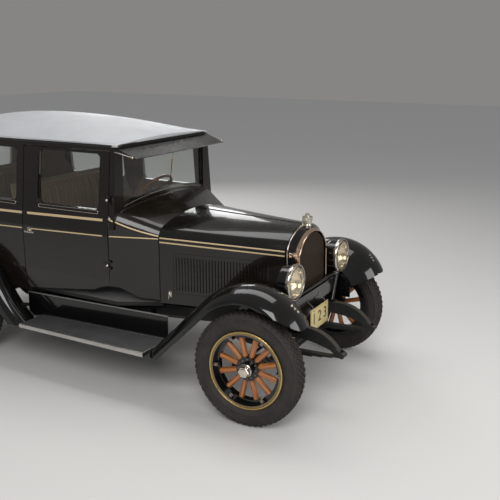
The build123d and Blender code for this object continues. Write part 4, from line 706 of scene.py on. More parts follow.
def spun(piece, count):
    """The piece and its copies, evenly spaced round the Z axis."""
    return [piece] + copies(piece, [round_z(2 * math.pi * n / count) for n in range(1, count)])


def renamed(piece, name):
    piece.name = piece.data.name = name
    return piece


def joined(pieces, name):
    """Several settled pieces of one body and finish made one piece."""
    activate(pieces[0])
    for piece in pieces:
        piece.select_set(True)
    bpy.ops.object.join()
    return renamed(pieces[0], name)


# %% [markdown]
# Trim has to lie on its panel, neither above it nor inside. The place could be read off a drawing
# of the body, or a shrinkwrap could pull the trim on afterwards. Here a ray is cast at the solid
# first, so each piece is made where it belongs.

# %% Where the outer face of a solid lies
trees = {}


def surface(piece):
    """The faces of an object as a tree that rays can be cast at."""
    if piece.name not in trees:
        corners, faces = piece.data.vertices, piece.data.polygons
        trees[piece.name] = BVHTree.FromPolygons([v.co for v in corners], [f.vertices for f in faces])
    return trees[piece.name]


def nearest(names, start, away):
    """Where a ray first meets one of the named solids, or None."""
    hits = [surface(nodes[name]).ray_cast(start, away) for name in names]
    hits = [(distance, place) for place, _, _, distance in hits if place is not None]
    return min(hits, key=lambda hit: hit[0])[1] if hits else None


def panel_point(names, x, z, side, lift=0.0):
    """Point on the outside of the named solids at x and z, seen square from one side."""
    place = nearest(names, Vector((x, side * 2.0, z)), Vector((0, -side, 0)))
    return None if place is None else place + Vector((0, side * lift, 0))


def panel_line(names, stops, side, lift=0.0, step=0.05):
    """Points along straight runs between (x, z) stops, laid on the outside of the solids."""
    line = []
    for (x0, z0), (x1, z1) in zip(stops, stops[1:]):
        count = max(1, round(math.dist((x0, z0), (x1, z1)) / step))
        for number in range(count + (1 if (x1, z1) == stops[-1] else 0)):
            share = number / count
            line.append(panel_point(names, x0 + share * (x1 - x0), z0 + share * (z1 - z0), side, lift))
    return [place for place in line if place is not None]


print("helpers ready")

# %% [markdown]
# ## Wheels
# A wooden artillery wheel is a hub, twelve spokes, a wooden felloe and a steel rim that comes off
# with its tyre. The solids hold the wood and the rim; what the eye still looks for is the nickel
# hub cap, the bolts through the hub flange, the bright edge of the rim and the clips that hold it.
# Each is modelled once about the world's Z axis, then copied to the four wheels.

# %% Placing a piece that was made about the Z axis
def wheel_matrix(centre, outward):
    """Carries the origin to a wheel's centre and Z to its axle's outer end."""
    ahead = UP.cross(outward) if outward.y > 0 else outward.cross(UP)
    turn = Matrix((ahead, outward.cross(ahead), outward)).transposed().to_4x4()
    return Matrix.Translation(centre) @ turn


def at_wheels(piece, stem):
    """A copy of a piece made at the origin for every wheel; the first piece is then removed."""
    for name, centre, outward in wheels:
        twin = renamed(copies(piece, [wheel_matrix(centre, outward)])[0], stem + "_" + name)
        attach(twin, "wheel_" + name)
    bpy.data.objects.remove(piece)
    print(stem, "on", len(wheels), "wheels")


# %% [markdown]
# The hub cap is a round barrel that ends in a hexagon for the wrench, with a domed face. Two
# turned pieces with many sides and one with six make it. One turned form can't be round and six-
# sided, so three are made and joined.

# %% Hub caps
barrel_rings = (
    (0.044, 0.0505), (0.0445, 0.054), (0.040, 0.057), (0.0375, 0.062), (0.0375, 0.068), (0.034, 0.071),
)
wrench_rings = ((0.0375, 0.066), (0.0385, 0.068), (0.0385, 0.083), (0.0365, 0.0862))
dome_rings = (
    (0.0285, 0.0855), (0.0285, 0.0866), (0.026, 0.0878), (0.018, 0.0892), (0.008, 0.0898), (TINY, 0.09),
)
barrel = turned("hub_cap", barrel_rings, nickel, steps=40)
wrench = turned("hub_nut", wrench_rings, nickel, steps=6, smooth=20)
dome = turned("hub_dome", dome_rings, nickel, steps=40, smooth=50)
wrench.data.transform(round_z(math.radians(30)))
at_wheels(joined([barrel, wrench, dome], "hub_cap"), "hub_cap")

# %% [markdown]
# Six bolts clamp the spokes between the flanges of the hub, with a small stud between each two.
# One bolt and one stud are turned, moved out from the axle and then spun round it, which keeps the
# spacing even.

# %% Bolts of the hub flange, with a stud between each two
bolt = turned("hub_bolt", ((0.0065, 0.0245), (0.0065, 0.0305), (0.0055, 0.0318)), steel, steps=6)
bolt.data.transform(Matrix.Translation((0.062, 0, 0)))
stud = turned("hub_stud", ((0.0045, 0.0245), (0.0045, 0.0285), (0.0035, 0.0292)), steel, steps=10)
stud.data.transform(round_z(math.radians(30)) @ Matrix.Translation((0.066, 0, 0)))
at_wheels(joined(spun(bolt, 6) + spun(stud, 6), "hub_bolts"), "hub_bolts")

# %% [markdown]
# The outer edge of the rim is worn bright, and a groove parts it from the ring that holds the
# tyre. Both are one hollow ring: its section is carried round the axle and ends where it began, so
# it is closed without caps.

# %% Bright edge of the rim, and the split ring inside it
edge_rings = (
    (0.2535, 0.0556), (0.2535, 0.0575), (0.2552, 0.0592), (0.2585, 0.0598), (0.2625, 0.0590), (0.2652, 0.0570),
    (0.2652, 0.0535), (0.2640, 0.0535), (0.2640, 0.0556), (0.2535, 0.0556),
)
at_wheels(turned("rim_edge", edge_rings, rim_metal, steps=96, smooth=60, hollow=True), "rim_edge")

# %% [markdown]
# Six clips hold the rim on the felloe: a bent plate with a nut on its stud. The valve stem stands
# through the felloe between two spokes. A clip could be bent from one strip, but four small pieces
# show the same edges at this size and are quick to set.

# %% Rim clips and valve
CLIP_RADIUS = 0.2265
plate = block("rim_clip", (0.030, 0.024, 0.006), (CLIP_RADIUS, 0, 0.0385), steel, edge=0.0015)
nut = turned("rim_nut", ((0.0085, 0.040), (0.0085, 0.0475), (0.0075, 0.0490)), nickel, steps=6)
tip = turned("rim_stud", ((0.0045, 0.0485), (0.0045, 0.0545), (0.0035, 0.0555)), steel, steps=12)
for part in (nut, tip):
    part.data.transform(Matrix.Translation((CLIP_RADIUS, 0, 0)))
hook = block("rim_hook", (0.014, 0.020, 0.0045), (0.2445, 0, 0.0575), steel, edge=0.0012)
clips = spun(joined([plate, nut, tip, hook], "rim_clip"), 6)
valve_rings = ((0.0048, 0), (0.0048, 0.022), (0.0055, 0.023), (0.0055, 0.031), (0.0045, 0.032))
valve = turned("valve", valve_rings, nickel, (0.211, 0, 0.012), BACKWARDS, steps=12)
valve.data.transform(round_z(math.radians(75)))
at_wheels(joined(clips + [valve], "rim_clips"), "rim_clips")

# %% [markdown]
# ## Tyres
# A balloon tyre of the time has a smooth wall with a raised ring, notched shoulders and a tread of
# small blocks. The carcass is one section turned round the axle. One pitch of the tread, five
# blocks and two shoulder notches, is modelled and repeated round it.

# %% Carcass
half_section = (
    (0.2475, 0.0472), (0.2665, 0.0472), (0.2705, 0.0490), (0.2760, 0.0545), (0.2860, 0.0600), (0.2950, 0.0630),
    (0.2965, 0.0642), (0.3000, 0.0645), (0.3015, 0.0640), (0.3150, 0.0657), (0.3250, 0.0659), (0.3380, 0.0648),
    (0.3480, 0.0622), (0.3490, 0.0632), (0.3530, 0.0622), (0.3540, 0.0600), (0.3620, 0.0562), (0.3700, 0.0515),
    (0.3745, 0.0465), (0.3772, 0.0380), (0.3785, 0.0200), (0.3788, 0.0),
)
section = half_section + tuple((radius, -height) for radius, height in reversed(half_section[:-1]))
carcass = turned("tyre", section + section[:1], rubber, steps=96, smooth=60, hollow=True)
print("carcass of", len(carcass.data.polygons), "faces")

# %% [markdown]
# A tread could be relief in the rubber, but then the outline of the tyre would stay smooth, and
# that is where the eye finds it. So one pitch of it is modelled, of blocks with few faces, and
# spun round the tyre.

# %% Tread
PITCHES = 58
lug_table = (
    # radius, place across, turn round the axle in pitches, length round, width across, depth, lean
    (0.3815, 0.0000, 0.00, 0.025, 0.0150, 0.0080, 0.30),
    (0.3812, 0.0195, 0.50, 0.026, 0.0140, 0.0078, -0.25),
    (0.3812, -0.0195, 0.50, 0.026, 0.0140, 0.0078, -0.25),
    (0.3785, 0.0385, 0.00, 0.021, 0.0180, 0.0080, 0.0),
    (0.3785, -0.0385, 0.00, 0.021, 0.0180, 0.0080, 0.0),
    (0.3660, 0.0535, 0.50, 0.014, 0.0050, 0.0150, 0.0),
    (0.3660, -0.0535, 0.50, 0.014, 0.0050, 0.0150, 0.0),
)
lugs = []
for radius, across, shift, length, width, depth, lean in lug_table:
    lug = block("lug", (depth, length, width), (radius, 0, across), rubber, turn=(lean, 0, 0), edge=0.0015)
    lug.data.transform(round_z(2 * math.pi * shift / PITCHES))
    lugs.append(lug)
tyre = joined([carcass] + spun(joined(lugs, "tread"), PITCHES), "tyre")
print(PITCHES, "pitches of", len(lug_table), "lugs")

# %% [markdown]
# The finished tyre is copied to the four wheels and to the spare, each with a mesh of its own, and
# stands in the place of the plain CAD tyre. The spare hangs on the back of the body, so its axle
# points to the rear.

# %% A tyre on every wheel and on the spare's carrier
spare_low, spare_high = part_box("spare_tyre")
spare_middle = (Vector(spare_low) + Vector(spare_high)) / 2
spare = renamed(copies(tyre, [wheel_matrix(spare_middle, BACKWARDS)])[0], "spare_tyre_tread")
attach(spare, "chassis")
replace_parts(spare, "spare_tyre")
at_wheels(tyre, "tyre_tread")
for name, centre, outward in wheels:
    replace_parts(bpy.data.objects["tyre_tread_" + name], "tyre_" + name)
print(len(wheels) + 1, "tyres of", len(spare.data.polygons), "faces each")

# %% [markdown]
# ## Mouldings of the body
# Two raised lines run along the body: a broad cream one under the windows and a thin one below
# it, which meet on the cowl and go on along the bonnet's hinge. On the real body they are pressed
# beads with a painted line on top. Here each is a bevelled curve laid on the panel: rays cast
# square at the side find the panel, so the bead follows its tumble and taper.

# %% Lines along the sides
REAR_CORNER = BODY_REAR + 0.028
GAP = 0.0042
LINES = (
    # label, height at x, radius, half height of the flat
    ("broad", lambda x: 1.2066 + 0.0214 * x, 0.0045, 0.0055),
    ("thin", lambda x: 1.0895 + 0.0275 * x, 0.0035, 0.0015),
)
cowl_thin = ((PILLAR + GAP, 1.0985), (0.477, 1.091), (0.574, 1.086), (HOOD_REAR - 0.004, 1.081))
cowl_curve = (
    (PILLAR + GAP, 1.222), (0.371, 1.214), (0.389, 1.202), (0.415, 1.188), (0.466, 1.165), (0.517, 1.145),
    (0.568, 1.127), (0.619, 1.111), (HOOD_REAR - 0.004, 1.100),
)
for side_name, side in SIDES:
    door = "door_" + side_name
    for stem, panels, body, start, end in (
        ("door_", (door,), door, DOOR_REAR + GAP, PILLAR - GAP),
        ("side_panels_", ("side_panels", "back_panel"), "chassis", DOOR_REAR - GAP, REAR_CORNER),
    ):
        for label, level_at, radius, tall in LINES:
            line = panel_line(panels, ((start, level_at(start)), (end, level_at(end))), side, 0.0008)
            strip("moulding_" + label + "_" + stem + side_name, line, radius, line_paint, body, tall)
    for stem, stops, lift, step, radius, tall in (
        ("moulding_thin_cowl_", cowl_thin, 0.0008, 0.05, 0.0032, 0.0012),
        ("moulding_curve_", cowl_curve, 0.001, 0.02, 0.0042, 0.0015),
    ):
        line = panel_line(("cowl",), stops, side, lift, step)
        strip(stem + side_name, line, radius, line_paint, tall=tall)
    for label, panel, body, rear_z, front_z in (
        ("upper_", "hood_top_", "bonnet_top_", 1.0885, 1.0625),
        ("lower_", "hood_side_", "bonnet_side_", 1.0575, 1.031),
    ):
        stops = ((HOOD_REAR + 0.006, rear_z), (HOOD_FRONT - 0.008, front_z))
        line = panel_line((panel + side_name,), stops, side, 0.0006)
        strip("moulding_bonnet_" + label + side_name, line, 0.0036, line_paint, body + side_name, 0.0018)
print("side mouldings laid")

# %% [markdown]
# Both lines go on round the back corners and meet behind the body. A copy of the side's line could
# be bent round, but the back is curved in its own way, so a second row of rays is cast at it from
# behind.

# %% Lines round the back corners and across the back
def back_point(y, z, lift, names=("back_panel", "side_panels")):
    """Point on the outside of the body's back at y and z."""
    place = nearest(names, Vector((-2.6, y, z)), FORWARD)
    return None if place is None else place - Vector((lift, 0, 0))


for label, level_at, radius, tall in LINES:
    z = level_at(REAR_CORNER)
    across = [back_point(-0.655 + 0.01 * n, z, 0.0008) for n in range(132)]
    corner = [panel_point(("back_panel", "side_panels"), REAR_CORNER, z, side, 0.0008) for side in (-1, 1)]
    line = [corner[0]] + [p for p in across if p is not None and p.x < REAR_CORNER] + [corner[1]]
    strip("moulding_" + label + "_back", line, radius, line_paint, tall=tall)
print("back mouldings laid")

# %% [markdown]
# ## Radiator, cap and lamps
# The radiator shell is black with a broad plated rim round the core, a plated bead where the
# bonnet meets it and a plated cap. The rim is a bevel of the solid itself, so it only needs its own
# finish; the beads are curves found by rays cast across the arch.

# %% Plated rim of the shell
SHELL_FRONT = FRONT_AXLE + 0.122
rim_faces = also(
    "radiator_shell", copper, lambda p, n: p.x > SHELL_FRONT - 0.0255 and n.x > 0.25 and p.z > 0.63
)
cap_faces = also("radiator_shell", nickel, lambda p, n: p.z > 1.1985 and abs(p.y) < 0.06)
print(rim_faces, "rim faces and", cap_faces, "cap faces plated")


# %% [markdown]
# The arch of the shell is two straight sides under a half circle. The beads could be drawn from
# those measures, but the shell also swells, so rays are cast across its wall all the way round:
# from outside for the bead by the bonnet, from inside for the rim.

# %% Arches round the radiator
def arch_rays(x, low, straight, steps=60, middle=0.98):
    """Places inside an arch and directions out of it: up one side, over the top and down the other."""
    feet = [Vector((x, 0, low + (middle - low) * n / straight)) for n in range(straight)]
    turns = [math.pi * n / steps for n in range(steps + 1)]
    rays = [(foot, Vector((0, -1, 0))) for foot in feet]
    rays += [(Vector((x, 0, middle)), Vector((0, -math.cos(a), math.sin(a)))) for a in turns]
    return rays + [(foot, Vector((0, 1, 0))) for foot in reversed(feet)]


SHELL = ("radiator_shell",)
bonnet_end, opening = arch_rays(HOOD_FRONT + 0.0075, 0.72, 9), arch_rays(SHELL_FRONT - 0.006, 0.640, 12)
outer = [(nearest(SHELL, start + 2 * away, -away), away) for start, away in bonnet_end]
inner = [(nearest(SHELL, start, away), away) for start, away in opening]
shell_bead = [hit + 0.001 * away for hit, away in outer if hit is not None]
rim_bead = [hit + 0.0016 * away + Vector((0.0052, 0, 0)) for hit, away in inner if hit is not None]
strip("shell_bead", shell_bead, 0.0042, nickel)
strip("rim_bead", rim_bead, 0.0034, copper)
print("beads of", len(shell_bead), "and", len(rim_bead), "points")

# %% [markdown]
# The cap is a plain plated screw cap: a collar on the neck, a knurled body and a low dome. The
# knurls are one small rib copied round. They could be cut into the body as grooves, but ribs that
# stand out need no cutting and keep the mesh clean.

# %% Radiator cap
CAP_PLACE = Matrix.Translation((FRONT_AXLE + 0.074, 0, 1.196))
collar_rings = (
    (0.0305, 0.0), (0.0305, 0.004), (0.0285, 0.010), (0.0265, 0.013), (0.0265, 0.018), (0.0285, 0.021),
    (0.0285, 0.036), (0.027, 0.041), (0.022, 0.048), (0.014, 0.0525), (TINY, 0.054),
)
collar = turned("cap_collar", collar_rings, nickel, CAP_PLACE.translation, steps=48, smooth=50)
ribs = spun(block("cap_rib", (0.004, 0.0038, 0.015), (0.0285, 0, 0.0285), nickel, edge=0.0012), 24)
for part in ribs:
    part.data.transform(CAP_PLACE)
joined([collar] + ribs, "radiator_cap")
print("cap with", len(ribs), "ribs")

# %% [markdown]
# Where the moulding of the body meets the radiator shell it ends in a small plated piece. It is
# three flat blocks, a broad one with a thin one at each edge, turned to lie against the side of
# the shell.

# %% Plated corner pieces where the moulding ends on the shell
corner_plates = ((0.0, (0.060, 0.010, 0.034)), (0.011, (0.056, 0.014, 0.005)), (-0.011, (0.056, 0.014, 0.005)))
for side_name, side in SIDES:
    for number, (height, size) in enumerate(corner_plates):
        place = (HOOD_FRONT + 0.0395, side * 0.2425, 1.037 + height)
        lean = (0, 0, side * -math.radians(37.5))
        block("shell_corner_" + side_name + "_" + str(number), size, place, copper, turn=lean, edge=0.0018)
print("corner pieces made")

# %% [markdown]
# A headlamp of the time is a black drum with a plated rim, a silvered bowl, one bulb and a
# fluted lens. The drum and lens are solids already. The bowl is turned as a thin cup, so the lens
# shows depth behind it, and the rim gets a rolled bead. Collars clamp the tie bar and the posts.

# %% Headlamp rims, reflectors, bulbs and collars
LAMP_X, LAMP_Y, LAMP_Z, POST_X = FRONT_AXLE + 0.184, 0.378, 0.894, FRONT_AXLE + 0.146
lamp_parts = (
    # stem, finish, sides, smoothing angle, hollow, rings
    ("lamp_rim_", nickel, 64, 60, True, (
        (0.1236, -0.022), (0.1252, -0.0205), (0.1262, -0.012), (0.1256, -0.003), (0.1225, 0.0025),
        (0.1185, 0.0035), (0.1165, 0.002), (0.1165, 0.0), (0.1236, -0.001), (0.1236, -0.022),
    )),
    ("lamp_bowl_", reflector, 64, 60, True, (
        (0.1045, -0.0130), (0.1030, -0.0240), (0.0950, -0.0430), (0.0800, -0.0590), (0.0600, -0.0710),
        (0.0350, -0.0780), (0.0180, -0.0800), (0.0180, -0.0825), (0.0360, -0.0805), (0.0620, -0.0735),
        (0.0830, -0.0610), (0.0980, -0.0445), (0.1056, -0.0250), (0.1056, -0.0130), (0.1045, -0.0130),
    )),
    ("lamp_socket_", brass, 24, 35, False, ((0.018, -0.0815), (0.018, -0.070), (0.013, -0.066))),
    ("lamp_bulb_", bulb_glass, 24, 60, False, (
        (0.010, -0.067), (0.012, -0.058), (0.017, -0.048), (0.0175, -0.040), (0.014, -0.031), (0.007, -0.0265),
        (TINY, -0.0255),
    )),
)
collars = (
    # stem, place across, height, axis, rings
    ("tie_bar_collar_", 0.335, 0.765, (0, 1, 0), (
        (0.0115, -0.018), (0.0165, -0.016), (0.0165, 0.016), (0.0115, 0.018),
    )),
    ("lamp_post_collar_", LAMP_Y, 0.786, UP, (
        (0.0165, -0.012), (0.0225, -0.009), (0.0225, 0.009), (0.0165, 0.012),
    )),
)


def on_lamp_rim(p, n):
    return p.x > LAMP_X - 0.0245 and 0.1115 < math.hypot(abs(p.y) - LAMP_Y, p.z - LAMP_Z) < 0.1235


print(also("headlamps", nickel, on_lamp_rim), "lamp rim faces plated")
for side_name, side in SIDES:
    middle = (LAMP_X, side * LAMP_Y, LAMP_Z)
    for stem, finish, steps, smooth, hollow, rings in lamp_parts:
        turned(stem + side_name, rings, finish, middle, FORWARD, steps=steps, smooth=smooth, hollow=hollow)
    for stem, y, z, axis, rings in collars:
        turned(stem + side_name, rings, nickel, (POST_X, side * y, z), axis, steps=24)
print("lamps dressed")

# %% [markdown]
# The plate carries three plain figures. It is a thin pressed sheet with a raised border, hung on
# two straps from the cross panel. The figures are a text object that is made a mesh, given a
# thickness and laid on the sheet. They could be a picture on it, but raised figures catch the
# light at their edges, as pressed ones do.

# %% Number plate
PLATE = Vector((FRONT_AXLE + 0.2005, -0.052, 0.557))
block("plate", (0.0022, 0.285, 0.160), PLATE, plate_paint, edge=0.0009)
border = [PLATE + Vector((0.0012, u * 0.135, v * 0.073)) for u, v in ((-1, -1), (1, -1), (1, 1), (-1, 1))]
strip("plate_border", border, 0.0012, figure_paint, closed=True)
deselect()
bpy.ops.object.text_add(location=(0, 0, 0))
letters = bpy.context.object.data
letters.body, letters.size, letters.extrude = "1 2 3", 0.115, 0.0009
letters.align_x, letters.align_y = "CENTER", "CENTER"
bpy.ops.object.convert(target="MESH")
figures = bpy.context.object
figures.rotation_euler = (math.radians(90), 0, math.radians(90))
figures.location = PLATE + Vector((0.0014, 0, 0))
settle(figures, "plate_figures", figure_paint, "chassis", 30)
plate_bolt = ((0.0055, 0.0008), (0.0055, 0.0035), (0.0045, 0.0045))
for number, across in enumerate((-0.095, 0.095)):
    y = PLATE.y + across
    bend = (
        (FRONT_AXLE + 0.1515, y, 0.700), (FRONT_AXLE + 0.156, y, 0.676), (PLATE.x - 0.006, y, 0.650),
        (PLATE.x - 0.003, y, 0.610),
    )
    strip("plate_strap_" + str(number), bend, 0.0022, steel, sides=2)
    turned("plate_bolt_" + str(number), plate_bolt, nickel, (PLATE.x, y, 0.6215), FORWARD, steps=6)
print("plate hung")

# %% [markdown]
# ## Doors, windows and roof edge
# The plated double line under the door window is one long loop with round ends. The handle is a
# solid already and only needs plating and a round plate behind it. Small plated knobs sit on the
# hinge pins and where the broad moulding ends.

# %% Loops on a panel
def loop_stops(x0, x1, z0, z1, radius, steps=6):
    """(x, z) stops round a rectangle with round corners."""
    stops, rear, front, low, high = [], x0 + radius, x1 - radius, z0 + radius, z1 - radius
    for quarter, (cx, cz) in enumerate(((front, high), (rear, high), (rear, low), (front, low))):
        for n in range(steps + 1):
            a = math.radians(90 * quarter + 90 * n / steps)
            stops.append((cx + radius * math.cos(a), cz + radius * math.sin(a)))
    return stops


# %% [markdown]
# Every window has a painted bead round its opening and a plated loop below it. All four kinds are
# the same loop with other measures, so one table lists them. The handle's faces are plated by
# their place on the door, and each knob is a small turned piece whose place a ray finds.

# %% Window sills, window beads, handles and knobs
SILL = (1.2545, 1.2775, 0.0105, 0.0006, 0.0026, nickel)
BEAD = (1.2785, 1.6945, 0.045, 0.0002, 0.0028, upper_paint)
HANDLE_X, HANDLE_Z = DOOR_REAR + 0.072, 1.064
plate_rings = ((0.026, -0.002), (0.026, 0.003), (0.022, 0.006), (0.014, 0.007))
knob_rings = (
    (0.007, -0.004), (0.0105, 0.001), (0.0115, 0.005), (0.0095, 0.009), (0.005, 0.0115), (TINY, 0.012),
)
for side_name, side in SIDES:
    door, outwards = "door_" + side_name, (0, side, 0)
    for stem, panel, body, x0, x1, form in (
        ("sill_", door, door, -0.334, 0.240, SILL),
        ("window_bead_", door, door, -0.3475, 0.2495, BEAD),
        ("quarter_bead_", "side_panels", "chassis", -1.2325, -0.5625, BEAD),
        ("quarter_sill_", "side_panels", "chassis", -1.222, -0.573, SILL),
    ):
        z0, z1, corner_radius, lift, radius, finish = form
        stops = loop_stops(x0, x1, z0, z1, corner_radius)
        line = panel_line((panel,), stops + stops[:1], side, lift, 0.06)[:-1]
        strip(stem + side_name, line, radius, finish, body, closed=True)
    plated = also(door, nickel, lambda p, n: abs(p.y) > 0.6665 and p.x < -0.30 and 1.02 < p.z < 1.11)
    base = (HANDLE_X, panel_point((door,), HANDLE_X, HANDLE_Z + 0.045, side).y, HANDLE_Z)
    turned("handle_plate_" + side_name, plate_rings, nickel, base, outwards, door, steps=40, smooth=50)
    for label, x, z in (
        ("upper_hinge_", PILLAR, 1.367), ("lower_hinge_", PILLAR, 0.886), ("belt_", PILLAR + 0.010, 1.227),
    ):
        place = panel_point(("cowl",) if label == "belt_" else (door, "cowl"), x, z, side)
        turned("knob_" + label + side_name, knob_rings, nickel, place, outwards, steps=24, smooth=60)
    print(side_name, "door dressed,", plated, "handle faces plated")

# %% [markdown]
# A plated bead closes the windscreen's foot on the cowl, and a second, painted one runs over the
# cowl in front of it. Rays cast straight down, from under the header, find the cowl's top. Drawn
# by hand, the beads would float or sink where the crown of the cowl changes.

# %% Beads over the cowl
def on_cowl(stops, lift):
    """Points on the cowl's top at the given (x, y) stops."""
    hits = [nearest(("cowl",), Vector((x, y, 1.60)), DOWN) for x, y in stops]
    return [hit + Vector((0, 0, lift)) for hit in hits if hit is not None]


foot_stops = [(0.3745, -0.500 + 0.025 * n) for n in range(41)]
strip("windscreen_foot", on_cowl(foot_stops, 0.001), 0.0042, nickel)
half_crease = ((0.392, 0.560), (0.405, 0.470), (0.413, 0.357), (0.421, 0.247), (0.430, 0.139), (0.436, 0.0))
crease = [(x, -y) for x, y in half_crease] + [(x, y) for x, y in half_crease[-2::-1]]
crease_stops = [
    (x0 + n / 6 * (x1 - x0), y0 + n / 6 * (y1 - y0))
    for (x0, y0), (x1, y1) in zip(crease, crease[1:]) for n in range(6)
]
strip("cowl_bead", on_cowl(crease_stops, 0.0015), 0.0055, body_paint)
print("cowl beads laid")

# %% [markdown]
# The wiper hangs from a boss over the driver's half of the windscreen: a bent wire arm and a thin
# rubber blade, which a strip and a block make. It is thin and never seen from near, so nothing
# finer is needed.

# %% Wiper
pivot = Vector((0.3785, 0.109, 1.640))
arm = [pivot + Vector(bend) for bend in ((0.001, 0, 0), (0.0025, -0.009, -0.05), (-0.0015, -0.034, -0.185))]
strip("wiper_arm", arm, 0.0028, brass, sides=2)
blade_place, blade_turn = pivot + Vector((-0.0035, -0.030, -0.165)), (math.radians(-10), 0, 0)
block("wiper_blade", (0.004, 0.006, 0.200), blade_place, rubber, turn=blade_turn, edge=0.001)
boss_rings = ((0.011, -0.012), (0.013, -0.004), (0.013, 0.006), (0.008, 0.010))
turned("wiper_boss", boss_rings, brass, pivot, FORWARD, steps=24)
print("wiper made")

# %% [markdown]
# The roof's cloth is nailed down along its edge under a welt, and a drip rail hides the nails. The
# rail's outline comes from rays cast level towards the middle of the roof, all the way round. The
# edge of the solid could be copied instead, but it is rounded, and rays find its outermost line.

# %% Drip rail and welt
def round_roof(z, lift, steps=150):
    """Points round the roof's edge at one height."""
    line, middle = [], Vector(((PILLAR + BODY_REAR) / 2, 0, z))
    for n in range(steps):
        a = 2 * math.pi * n / steps
        away = Vector((math.cos(a), math.sin(a), 0))
        hit = nearest(("roof",), middle + 3 * away, -away)
        if hit is not None:
            line.append(hit + lift * away)
    return line


strip("drip_rail", round_roof(1.7525, 0.0005), 0.0060, enamel, closed=True, tall=0.001)
strip("roof_welt", round_roof(1.7680, 0.0002), 0.0034, roof_cloth, closed=True)
front_edge = [p + Vector((0.001, 0, 0)) for p in round_roof(1.7608, 0.0012, 300) if p.x > PILLAR + 0.020]
strip("roof_front_line", sorted(front_edge, key=lambda p: p.y), 0.0022, nickel)
print("roof edge trimmed")

# %% [markdown]
# The visor hangs on two thin plated stays, with a knob at each end of its rod. The stays are
# straight rods and need only two stops.

# %% Visor ends
visor_knob_rings = ((0.006, 0.0), (0.009, 0.002), (0.010, 0.006), (0.007, 0.011), (TINY, 0.013))
for side_name, side in SIDES:
    knob_place = (PILLAR + 0.197, side * 0.5665, 1.6795)
    turned("visor_knob_" + side_name, visor_knob_rings, nickel, knob_place, (0, side, 0), steps=24, smooth=60)
    ends = [(PILLAR + 0.042, side * 0.578, 1.712), (PILLAR + 0.197, side * 0.572, 1.6795)]
    strip("visor_stay_" + side_name, ends, 0.0035, nickel)
print("visor dressed")

# %% [markdown]
# ## Running boards and fenders
# Each board has a ribbed rubber mat between two aluminium edge bars, and its apron a bright rolled
# top. The mat is one sheet with ribs: one rib is modelled and repeated across the board. Ribs in
# the material would do from above, but not where the mat ends.

# %% Running boards
BOARD_REAR, BOARD_FRONT, BOARD_TOP = FRONT_AXLE - 1.965, FRONT_AXLE - 0.775, 0.368
LENGTH, MIDDLE = BOARD_FRONT - BOARD_REAR, (BOARD_FRONT + BOARD_REAR) / 2
MAT_WIDTH, MAT_INNER, RIB_ROWS = 0.262, 0.569, 17


def fit_to_apron(piece, side, gap, outer, share_of):
    """Moves each point across so that a straight piece follows the apron's slant."""
    for vertex in piece.data.vertices:
        inner = 0.600 - (vertex.co.x - (FRONT_AXLE - 2.100)) * 0.066 / 1.321 + gap
        vertex.co.y = side * inner + share_of(vertex.co.y, side * (outer - inner))


rolled = also("running_boards", aluminium, lambda p, n: p.z > 0.5335)
bright = also("running_boards", aluminium, lambda p, n: abs(p.y) > 0.8315 and p.z > 0.35)
for side_name, side in SIDES:
    base_size, base_place = (LENGTH - 0.012, MAT_WIDTH, 0.0025), (MIDDLE, side * 0.7, BOARD_TOP + 0.0010)
    base = block("mat_base", base_size, base_place, mat_rubber, edge=0.0006)
    fit_to_apron(base, side, 0.018, 0.815, lambda y, width: (abs(y) - MAT_INNER) / MAT_WIDTH * width)
    rib_size, rib_place = (LENGTH - 0.020, 0.0052, 0.0030), (MIDDLE, 0, BOARD_TOP + 0.0030)
    rib = block("mat_rib", rib_size, rib_place, mat_rubber, edge=0.0009)
    rows = copies(rib, [Matrix()] * RIB_ROWS)
    for n, row in enumerate(rows):
        fit_to_apron(row, side, 0.022, 0.811, lambda y, width: y + (n + 0.5) / RIB_ROWS * width)
    bpy.data.objects.remove(rib)
    joined([base] + rows, "mat_" + side_name)
    for stem, size, x, y, rise, edge in (
        ("board_edge_", (LENGTH - 0.002, 0.0160, 0.0075), MIDDLE, 0.8235, 0.0012, 0.0022),
        ("board_inner_", (LENGTH - 0.006, 0.0125, 0.0055), MIDDLE, 0, 0.0018, 0.0018),
        ("board_front_", (0.0125, MAT_WIDTH, 0.0055), BOARD_FRONT - 0.0075, 0.690, 0.0016, 0.0018),
    ):
        bar = block(stem + side_name, size, (x, side * y, BOARD_TOP + rise), aluminium, edge=edge)
        if stem == "board_inner_":
            fit_to_apron(bar, side, 0.0105, 0, lambda y, width: y)
print("boards matted,", rolled, "rolled faces and", bright, "edge faces bright")

# %% [markdown]
# The outer edge of a fender is rolled over a wire. The lower edge of the lip is read from the
# solid, station by station, and the roll is a bead along it. A bevel would round the sheet's own
# edge, but the solids keep their shape, so the roll is added.

# %% Rolled fender edges
LIP_OUTERMOST, LIP_ROLL, STATION = 0.8272, 0.8262, 0.012


def lip_line(name, side, x0, x1):
    """Lower edge of a fender's outer lip between two stations."""
    low = {}
    for vertex in nodes[name].data.vertices:
        if vertex.co.y * side > LIP_OUTERMOST and x0 < vertex.co.x < x1:
            number = round((vertex.co.x - x0) / STATION)
            if number not in low or vertex.co.z < low[number].z:
                low[number] = vertex.co
    return [Vector((low[n].x, side * LIP_ROLL, low[n].z + 0.003)) for n in sorted(low)]


for side_name, side in SIDES:
    for label, x0, x1 in (("front", 0.80, 1.96), ("rear", -1.64, -0.41)):
        line = lip_line(label + "_fenders", side, x0, x1)
        strip("fender_roll_" + label + "_" + side_name, line, 0.0042, enamel)
        print(label, side_name, "roll of", len(line), "points")

# %% [markdown]
# Three bolts on each side hold the fender to its bracket. They stand square to the sloping sheet,
# so their axis leans forward and up. They are few enough to be turned one by one where they sit.

